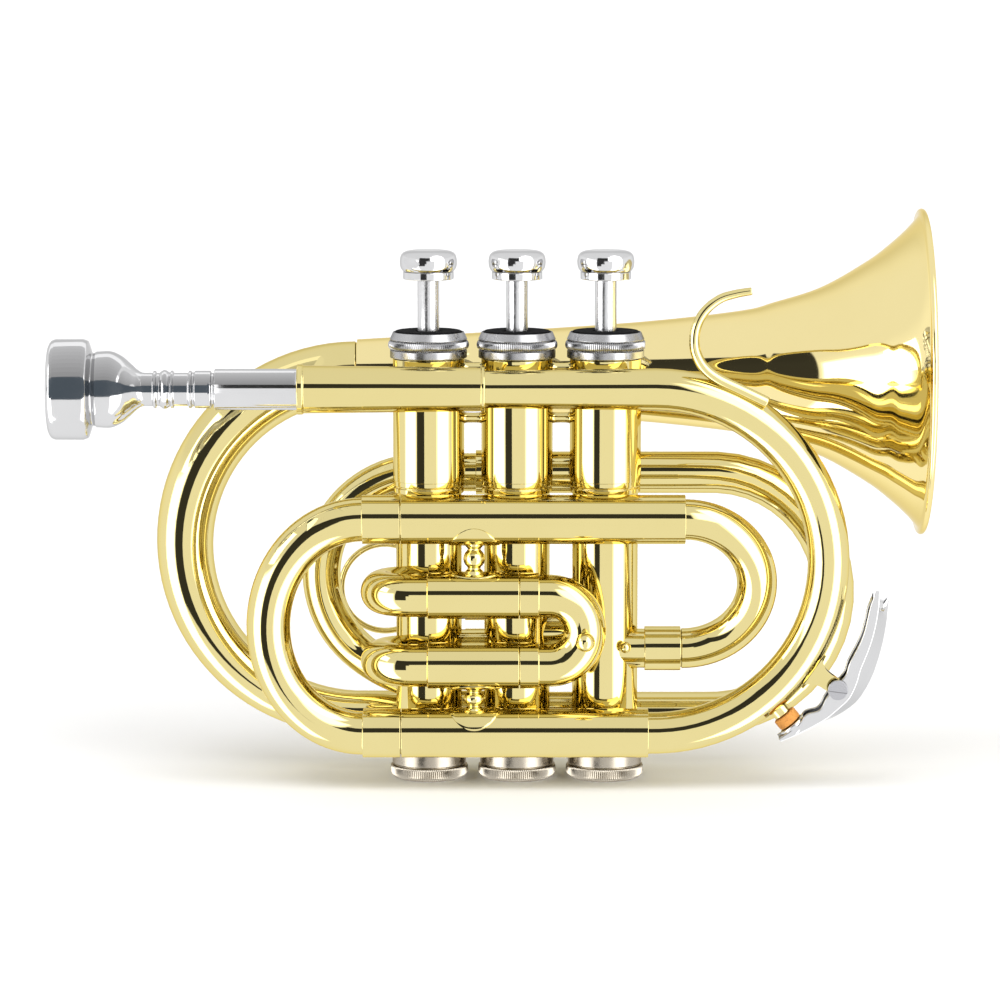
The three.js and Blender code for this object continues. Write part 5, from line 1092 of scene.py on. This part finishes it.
def water_key_cork():
    route = straight(around_bow(CORK_DEGREES, 0), around_bow(CORK_DEGREES, 1))
    top = CORK_BOTTOM + CORK_THICKNESS
    outline = rounded([(CORK_BOTTOM, 0), (CORK_BOTTOM, CORK_RADIUS), (top, CORK_RADIUS), (top, 0)], 0.4, False)
    piece("turned_water_key_cork", [revolve(route, outline, 48)], "water_key", "cork", "water_key_cork")


def across_pivot(sideways):
    return around_bow(PIVOT_DEGREES, PIVOT_REACH, sideways)


def water_key_saddle():
    half_angle = math.degrees(SADDLE_LENGTH / 2 / PIVOT_REACH)
    verts = []
    rows, columns = 24, 13
    for i in range(rows + 1):
        degrees = PIVOT_DEGREES + lerp(-half_angle, half_angle, i / rows)
        swell = math.cos(math.pi * (i / rows - 0.5))
        for top in (1, 0):
            for k in range(columns):
                share = k / (columns - 1) if top else 1 - k / (columns - 1)
                sideways = lerp(-1, 1, share) * SADDLE_WIDTH / 2 * (0.55 + 0.45 * swell)
                seat = BOW_REACH + math.sqrt(max(0, (LEADPIPE_RADIUS + 0.04) ** 2 - sideways ** 2))
                edge = 1 - abs(2 * share - 1) ** 6
                rise = top * edge * lerp(0.5, SADDLE_FOOT, swell ** 3)
                verts.append(around_bow(degrees, seat + rise, sideways))
    ring = 2 * columns
    faces = ring_faces(rows + 1, ring)
    faces += [list(range(ring)), [rows * ring + k for k in range(ring)]]
    half = SADDLE_WIDTH / 2
    route = straight(across_pivot(0), across_pivot(1))
    boss = rounded([(-half, SCREW_RADIUS + 0.2), (-half, SADDLE_BOSS), (half, SADDLE_BOSS),
                    (half, SCREW_RADIUS + 0.2)], 0.3)
    ears = [ear(half, half - EAR_THICKNESS), ear(EAR_THICKNESS - half, -half)]
    piece("cast_water_key_saddle", [(verts, faces), revolve(route, boss, 40), *ears], "horn", BRASS,
          "water_key_saddle")


def ear(near, far):
    """One flat side of the saddle, waisted from its foot on the tube up to the screw's boss."""
    side = smooth([(4.6, BOW_SURFACE - 0.4), (3.4, BOW_SURFACE + 1.1), (2.4, BOW_SURFACE + 3),
                   (2, PIVOT_REACH - 0.6)], 5)
    outline = [*side, *[(-degrees, reach) for degrees, reach in reversed(side)]]
    count = len(outline)
    verts = [around_bow(PIVOT_DEGREES + degrees, reach, sideways)
             for sideways in (near, far) for degrees, reach in outline]
    faces = [list(range(count)), [count + k for k in range(count)]]
    faces += [[k, (k + 1) % count, count + (k + 1) % count, count + k] for k in range(count)]
    return verts, faces


def water_key_screw():
    half = LEVER_WIDTH / 2
    route = straight(across_pivot(0), across_pivot(-1))
    face = half + GAP + SCREW_HEAD_THICKNESS
    outline = rounded([(-half - GAP, 0), (-half - GAP, SCREW_RADIUS), (half + GAP, SCREW_RADIUS),
                       (half + GAP, SCREW_HEAD), (face, SCREW_HEAD), (face, 0)], 0.3, False)
    screw = piece("slotted_water_key_screw", [revolve(route, outline, 48)], "horn", STEEL, "water_key_screw")
    centre = at(*(across_pivot(-face) - Z * SCREW_SLOT_DROP))
    bpy.ops.mesh.primitive_cube_add(size=1, location=centre)
    tool = bpy.context.object
    tool.scale = (3 * SCREW_HEAD * MM, 1.2 * MM, SCREW_SLOT * MM)
    tool.rotation_euler = (0, math.radians(SCREW_SLOT_DEGREES), 0)
    carve(screw, tool)


def carve(target, tool):
    """Cuts a tool out of a piece for good, and drops the tool."""
    cut = target.modifiers.new("cut", "BOOLEAN")
    cut.operation = "DIFFERENCE"
    cut.solver = "EXACT"
    cut.object = tool
    bpy.context.view_layer.update()
    seen = target.evaluated_get(bpy.context.evaluated_depsgraph_get())
    carved = bpy.data.meshes.new_from_object(seen)
    target.modifiers.clear()
    target.data = carved
    shade(carved, CUT_SHADE_DEGREES)
    bpy.data.objects.remove(tool)


for number, x in enumerate(VALVE_X, 1):
    casing(number, x)
    knurled_cap(f"bottom_cap_{number}", x, BOTTOM_CAP, BOTTOM_CAP_FILLETS, NICKEL)
    knurled_cap(f"top_cap_{number}", x, TOP_CAP, TOP_CAP_FILLETS, SILVER, "satin_silver")
    felt_washer(number, x)
    stem_and_button(number, x)
casing_details()
mouthpiece()
receiver()
leadpipe()
sleeve("lower_main_sleeve", LOWER_Z, LOWER_RIGHT)
sleeve("upper_main_sleeve", UPPER_Z, UPPER_RIGHT)
main_slide()
return_bow()
inlet()
link(0, LINK_Z[0], "valve_link_1_2")
link(1, LINK_Z[1], "valve_link_2_3")
first_outer(FIRST_Z[0], "first_slide_outer_upper")
first_outer(FIRST_Z[1], "first_slide_outer_lower")
first_slide()
second_slide()
third_slide()
finger_ring()
outlet()
rear_bow()
bell_bow()
bell()
front_brace("front_brace_upper", UPPER_Z, SLEEVE_RADIUS, FIRST_Z[0], SLIDE_SLEEVE)
front_brace("front_brace_lower", FIRST_Z[1], SLIDE_SLEEVE, LOWER_Z, SLEEVE_RADIUS)
bell_brace()
finger_hook()
water_key_lever()
water_key_cork()
water_key_saddle()
water_key_screw()

# Studio cards bent round the mouthpiece's axis: ends along X, radii, and edges in degrees of elevation
CARD_LEFT = -190
CARD_REACH = 50
CARD_INNER = 16
CARD_STEPS = 24
CARD_LAP = 0.5
CARD_RANGE = 62
SLATE_RIGHT = -87.5
SLATE_INNER = 7
SLATE_EDGES = (-14, 31)
SLATE = (0.11, 0.135, 0.16)
GREY_RIGHT = -63.2
GREY_TOP = 110
GREY_LEVELS = (0.45, 0.85)
GREY_STRIPS = 8
WHITE_TOP = 130

# A pale flat card before the valves: its left edge, right edge, Y, bottom and top
PALE_CARD = (-126.6, 60, -438, -100, 90)
PALE_LEVEL = 1.22

# A white upright card left of the bows: its X, front edge, back edge, bottom and top
LEFT_CARD = (-240, -140, -30, 130, 230)
LEFT_LEVEL = 4

# Camera: it stands to the player's right and a little above, as the photograph does
CAMERA_TARGET = Vector((2.15, -20.55, 81.0)) * MM
CAMERA_DISTANCE = 1.35
CAMERA_PITCH = math.radians(7.4)
CAMERA_LENS = 168

# Floor, in metres: half its side, and how far it lies under the part
FLOOR = 60
FLOOR_DROP = 0.0002

# The room in degrees: left and right azimuth, low and high elevation, and the softness of the edge
DARK_CARD = (-37, 7, -16, 32, 1.5)
WINDOW = (-6, 60, -60, 11, 1.5)
LEFT_PANEL = (-78, -44, -60, 12, 5)
RIGHT_PANEL = (33, 64, -60, 60, 9)
HIGH_PANEL = (14, 44, 17, 42, 7)
HIGH_PANEL_LEVEL = 0.8
PANEL_LEVEL = 2.8
DARKNESS = 0.96

# Where the room's level changes: with elevation from the first angle to the second, and towards its back
ROOM_RAMP = (14, 24, 1.22, 1.08)
BACK_RAMP = (0.6, 0.95, 1.0, 0.8)


def camera():
    data = bpy.data.cameras.new("camera")
    data.lens = CAMERA_LENS
    data.sensor_width = 36
    made = bpy.data.objects.new("camera", data)
    back = Vector((0, -math.cos(CAMERA_PITCH), math.sin(CAMERA_PITCH)))
    made.location = CAMERA_TARGET + back * CAMERA_DISTANCE
    made.rotation_euler = (-back).to_track_quat("-Z", "Y").to_euler()
    bpy.context.scene.collection.objects.link(made)
    bpy.context.scene.camera = made


def floor():
    corners = [(-FLOOR, -FLOOR, 0), (FLOOR, -FLOOR, 0), (FLOOR, FLOOR, 0), (-FLOOR, FLOOR, 0)]
    made = mesh_object("floor", corners, [(0, 1, 2, 3)])
    made.location.z = -FLOOR_DROP
    made.visible_glossy = False
    material, tree, node, surface = shader("floor")
    surface.inputs["Base Color"].default_value = (0.74, 0.74, 0.74, 1)
    surface.inputs["Roughness"].default_value = 1.0
    surface.inputs["Specular IOR Level"].default_value = 0.0
    made.data.materials.append(material)


def world():
    """A pale room by direction: tall white panels left and right, a dimmer white panel high on the right,
    a dark card with a pale window low in its right side, and a dimmer back."""
    made = bpy.data.worlds.new("studio")
    bpy.context.scene.world = made
    made.use_nodes = True
    tree = made.node_tree
    background = tree.nodes["Background"]

    def math_node(operation, *values):
        node = tree.nodes.new("ShaderNodeMath")
        node.operation = operation
        for socket, value in zip(node.inputs, values):
            if isinstance(value, bpy.types.NodeSocket):
                tree.links.new(value, socket)
            else:
                socket.default_value = value
        return node.outputs[0]

    def ramp(value, low, high, first=0.0, last=1.0):
        node = tree.nodes.new("ShaderNodeMapRange")
        node.interpolation_type = "SMOOTHSTEP"
        for key, number in (("From Min", low), ("From Max", high), ("To Min", first), ("To Max", last)):
            node.inputs[key].default_value = number
        tree.links.new(value, node.inputs["Value"])
        return node.outputs["Result"]

    def between(value, low, high, soft):
        """1 where the value lies between low and high, fading over soft outside."""
        return math_node("MULTIPLY", ramp(value, low - soft, low), ramp(value, high, high + soft, 1.0, 0.0))

    def panel(left, right, low, high, soft):
        return math_node("MULTIPLY", between(azimuth, left, right, soft), between(elevation, low, high, soft))

    split = tree.nodes.new("ShaderNodeSeparateXYZ")
    tree.links.new(tree.nodes.new("ShaderNodeTexCoord").outputs["Generated"], split.inputs[0])
    x, y, z = split.outputs
    degrees = 180 / math.pi
    azimuth = math_node("MULTIPLY", math_node("ARCTAN2", x, math_node("MULTIPLY", y, -1)), degrees)
    elevation = math_node("MULTIPLY", math_node("ARCSINE", z), degrees)
    dark = math_node("MULTIPLY", panel(*DARK_CARD), math_node("SUBTRACT", 1, panel(*WINDOW)))
    base = math_node("MULTIPLY", ramp(elevation, *ROOM_RAMP), ramp(y, *BACK_RAMP))
    lights = math_node("MAXIMUM", panel(*LEFT_PANEL), panel(*RIGHT_PANEL))
    lights = math_node("MAXIMUM", lights, math_node("MULTIPLY", panel(*HIGH_PANEL), HIGH_PANEL_LEVEL))
    lit = math_node("ADD", base, math_node("MULTIPLY", lights, PANEL_LEVEL))
    level = math_node("MULTIPLY", lit, math_node("SUBTRACT", 1, math_node("MULTIPLY", dark, DARKNESS)))
    tree.links.new(level, background.inputs["Strength"])
    background.inputs["Color"].default_value = (1, 1, 1, 1)


def bent_card(name, start, end, edges, colour):
    """A card made of the line between two (place, radius) points, swept round the mouthpiece's axis
    from one elevation to another. Only metal near it sees it."""
    angles = [math.radians(lerp(*edges, i / CARD_STEPS)) for i in range(CARD_STEPS + 1)]
    verts = [at(x, FRONT_Y - reach * math.cos(angle), LEADPIPE_Z + reach * math.sin(angle))
             for angle in angles for x, reach in (start, end)]
    faces = [(2 * i, 2 * i + 1, 2 * i + 3, 2 * i + 2) for i in range(CARD_STEPS)]
    tree = glossy_card(name, verts, faces, colour)
    far = tree.nodes.new("ShaderNodeMath")
    far.operation = "GREATER_THAN"
    far.inputs[1].default_value = CARD_RANGE * MM
    tree.links.new(tree.nodes.new("ShaderNodeLightPath").outputs["Ray Length"], far.inputs[0])
    choice = tree.nodes.new("ShaderNodeMixShader")
    tree.links.new(far.outputs[0], choice.inputs[0])
    tree.links.new(tree.nodes["Principled BSDF"].outputs[0], choice.inputs[1])
    tree.links.new(tree.nodes.new("ShaderNodeBsdfTransparent").outputs[0], choice.inputs[2])
    tree.links.new(choice.outputs[0], tree.nodes["Material Output"].inputs["Surface"])


def glossy_card(name, verts, faces, colour):
    """A glowing card that only polished metal sees."""
    made = mesh_object(name, verts, faces)
    made.visible_camera = False
    made.visible_diffuse = False
    made.visible_shadow = False
    material, tree, node, surface = shader(name)
    surface.inputs["Base Color"].default_value = (0, 0, 0, 1)
    surface.inputs["Specular IOR Level"].default_value = 0.0
    surface.inputs["Emission Color"].default_value = (*colour, 1)
    surface.inputs["Emission Strength"].default_value = 1.0
    made.data.materials.append(material)
    return tree


def mouthpiece_cards():
    """Slate before the mouthpiece, grey that grows paler and then white over it, slate and grey at their
    ends, and pale faces towards the bell."""
    left, slate_end, grey_end = (CARD_LEFT, CARD_REACH), (SLATE_RIGHT, CARD_REACH), (GREY_RIGHT, CARD_REACH)
    low, high = SLATE_EDGES
    bent_card("slate_card", left, slate_end, SLATE_EDGES, SLATE)
    for strip in range(GREY_STRIPS):
        edges = [lerp(high, GREY_TOP, (strip + k) / GREY_STRIPS) for k in (0, 1)]
        level = lerp(*GREY_LEVELS, (strip + 0.5) / GREY_STRIPS)
        grey = (level, level, level)
        bent_card(f"grey_card_{strip + 1}", left, grey_end, edges, grey)
        for side, place in (("left", CARD_LEFT), ("right", GREY_RIGHT - CARD_LAP)):
            bent_card(f"grey_{side}_{strip + 1}", (place, CARD_REACH), (place, CARD_INNER), edges, grey)
    bent_card("white_card", left, grey_end, (GREY_TOP, WHITE_TOP), (1.5, 1.5, 1.5))
    bent_card("slate_left", left, (CARD_LEFT, 0), SLATE_EDGES, SLATE)
    bent_card("slate_right", (SLATE_RIGHT - CARD_LAP, CARD_REACH), (SLATE_RIGHT - CARD_LAP, SLATE_INNER),
              SLATE_EDGES, SLATE)
    bent_card("slate_card_end", slate_end, (SLATE_RIGHT, CARD_INNER), SLATE_EDGES, (2.5, 2.5, 2.5))
    bent_card("grey_card_end", grey_end, (GREY_RIGHT, CARD_INNER), (high, WHITE_TOP), (1.15, 1.15, 1.15))


def pale_card():
    """A card whose left edge bounds the dark stripe in the casings nearer than in the bows."""
    left, right, y, low, high = PALE_CARD
    corners = [at(x, y, z) for x, z in ((left, low), (right, low), (right, high), (left, high))]
    glossy_card("pale_card", corners, [(0, 1, 2, 3)], (PALE_LEVEL, PALE_LEVEL, PALE_LEVEL))


def left_card():
    """A white card that gives the left bows their highlight and leaves the bell's alone."""
    x, front, back, low, high = LEFT_CARD
    corners = [at(x, y, z) for y, z in ((front, low), (back, low), (back, high), (front, high))]
    glossy_card("left_card", corners, [(0, 1, 2, 3)], (LEFT_LEVEL, LEFT_LEVEL, LEFT_LEVEL))


def key_light():
    data = bpy.data.lights.new("key", "SUN")
    data.energy = 0.7
    data.angle = math.radians(34)
    made = bpy.data.objects.new("key", data)
    made.rotation_euler = Vector((0.3, 0.3, -1)).to_track_quat("-Z", "Y").to_euler()
    made.visible_glossy = False
    bpy.context.scene.collection.objects.link(made)


camera()
floor()
world()
mouthpiece_cards()
pale_card()
left_card()
key_light()
bpy.context.scene.view_settings.view_transform = "Standard"
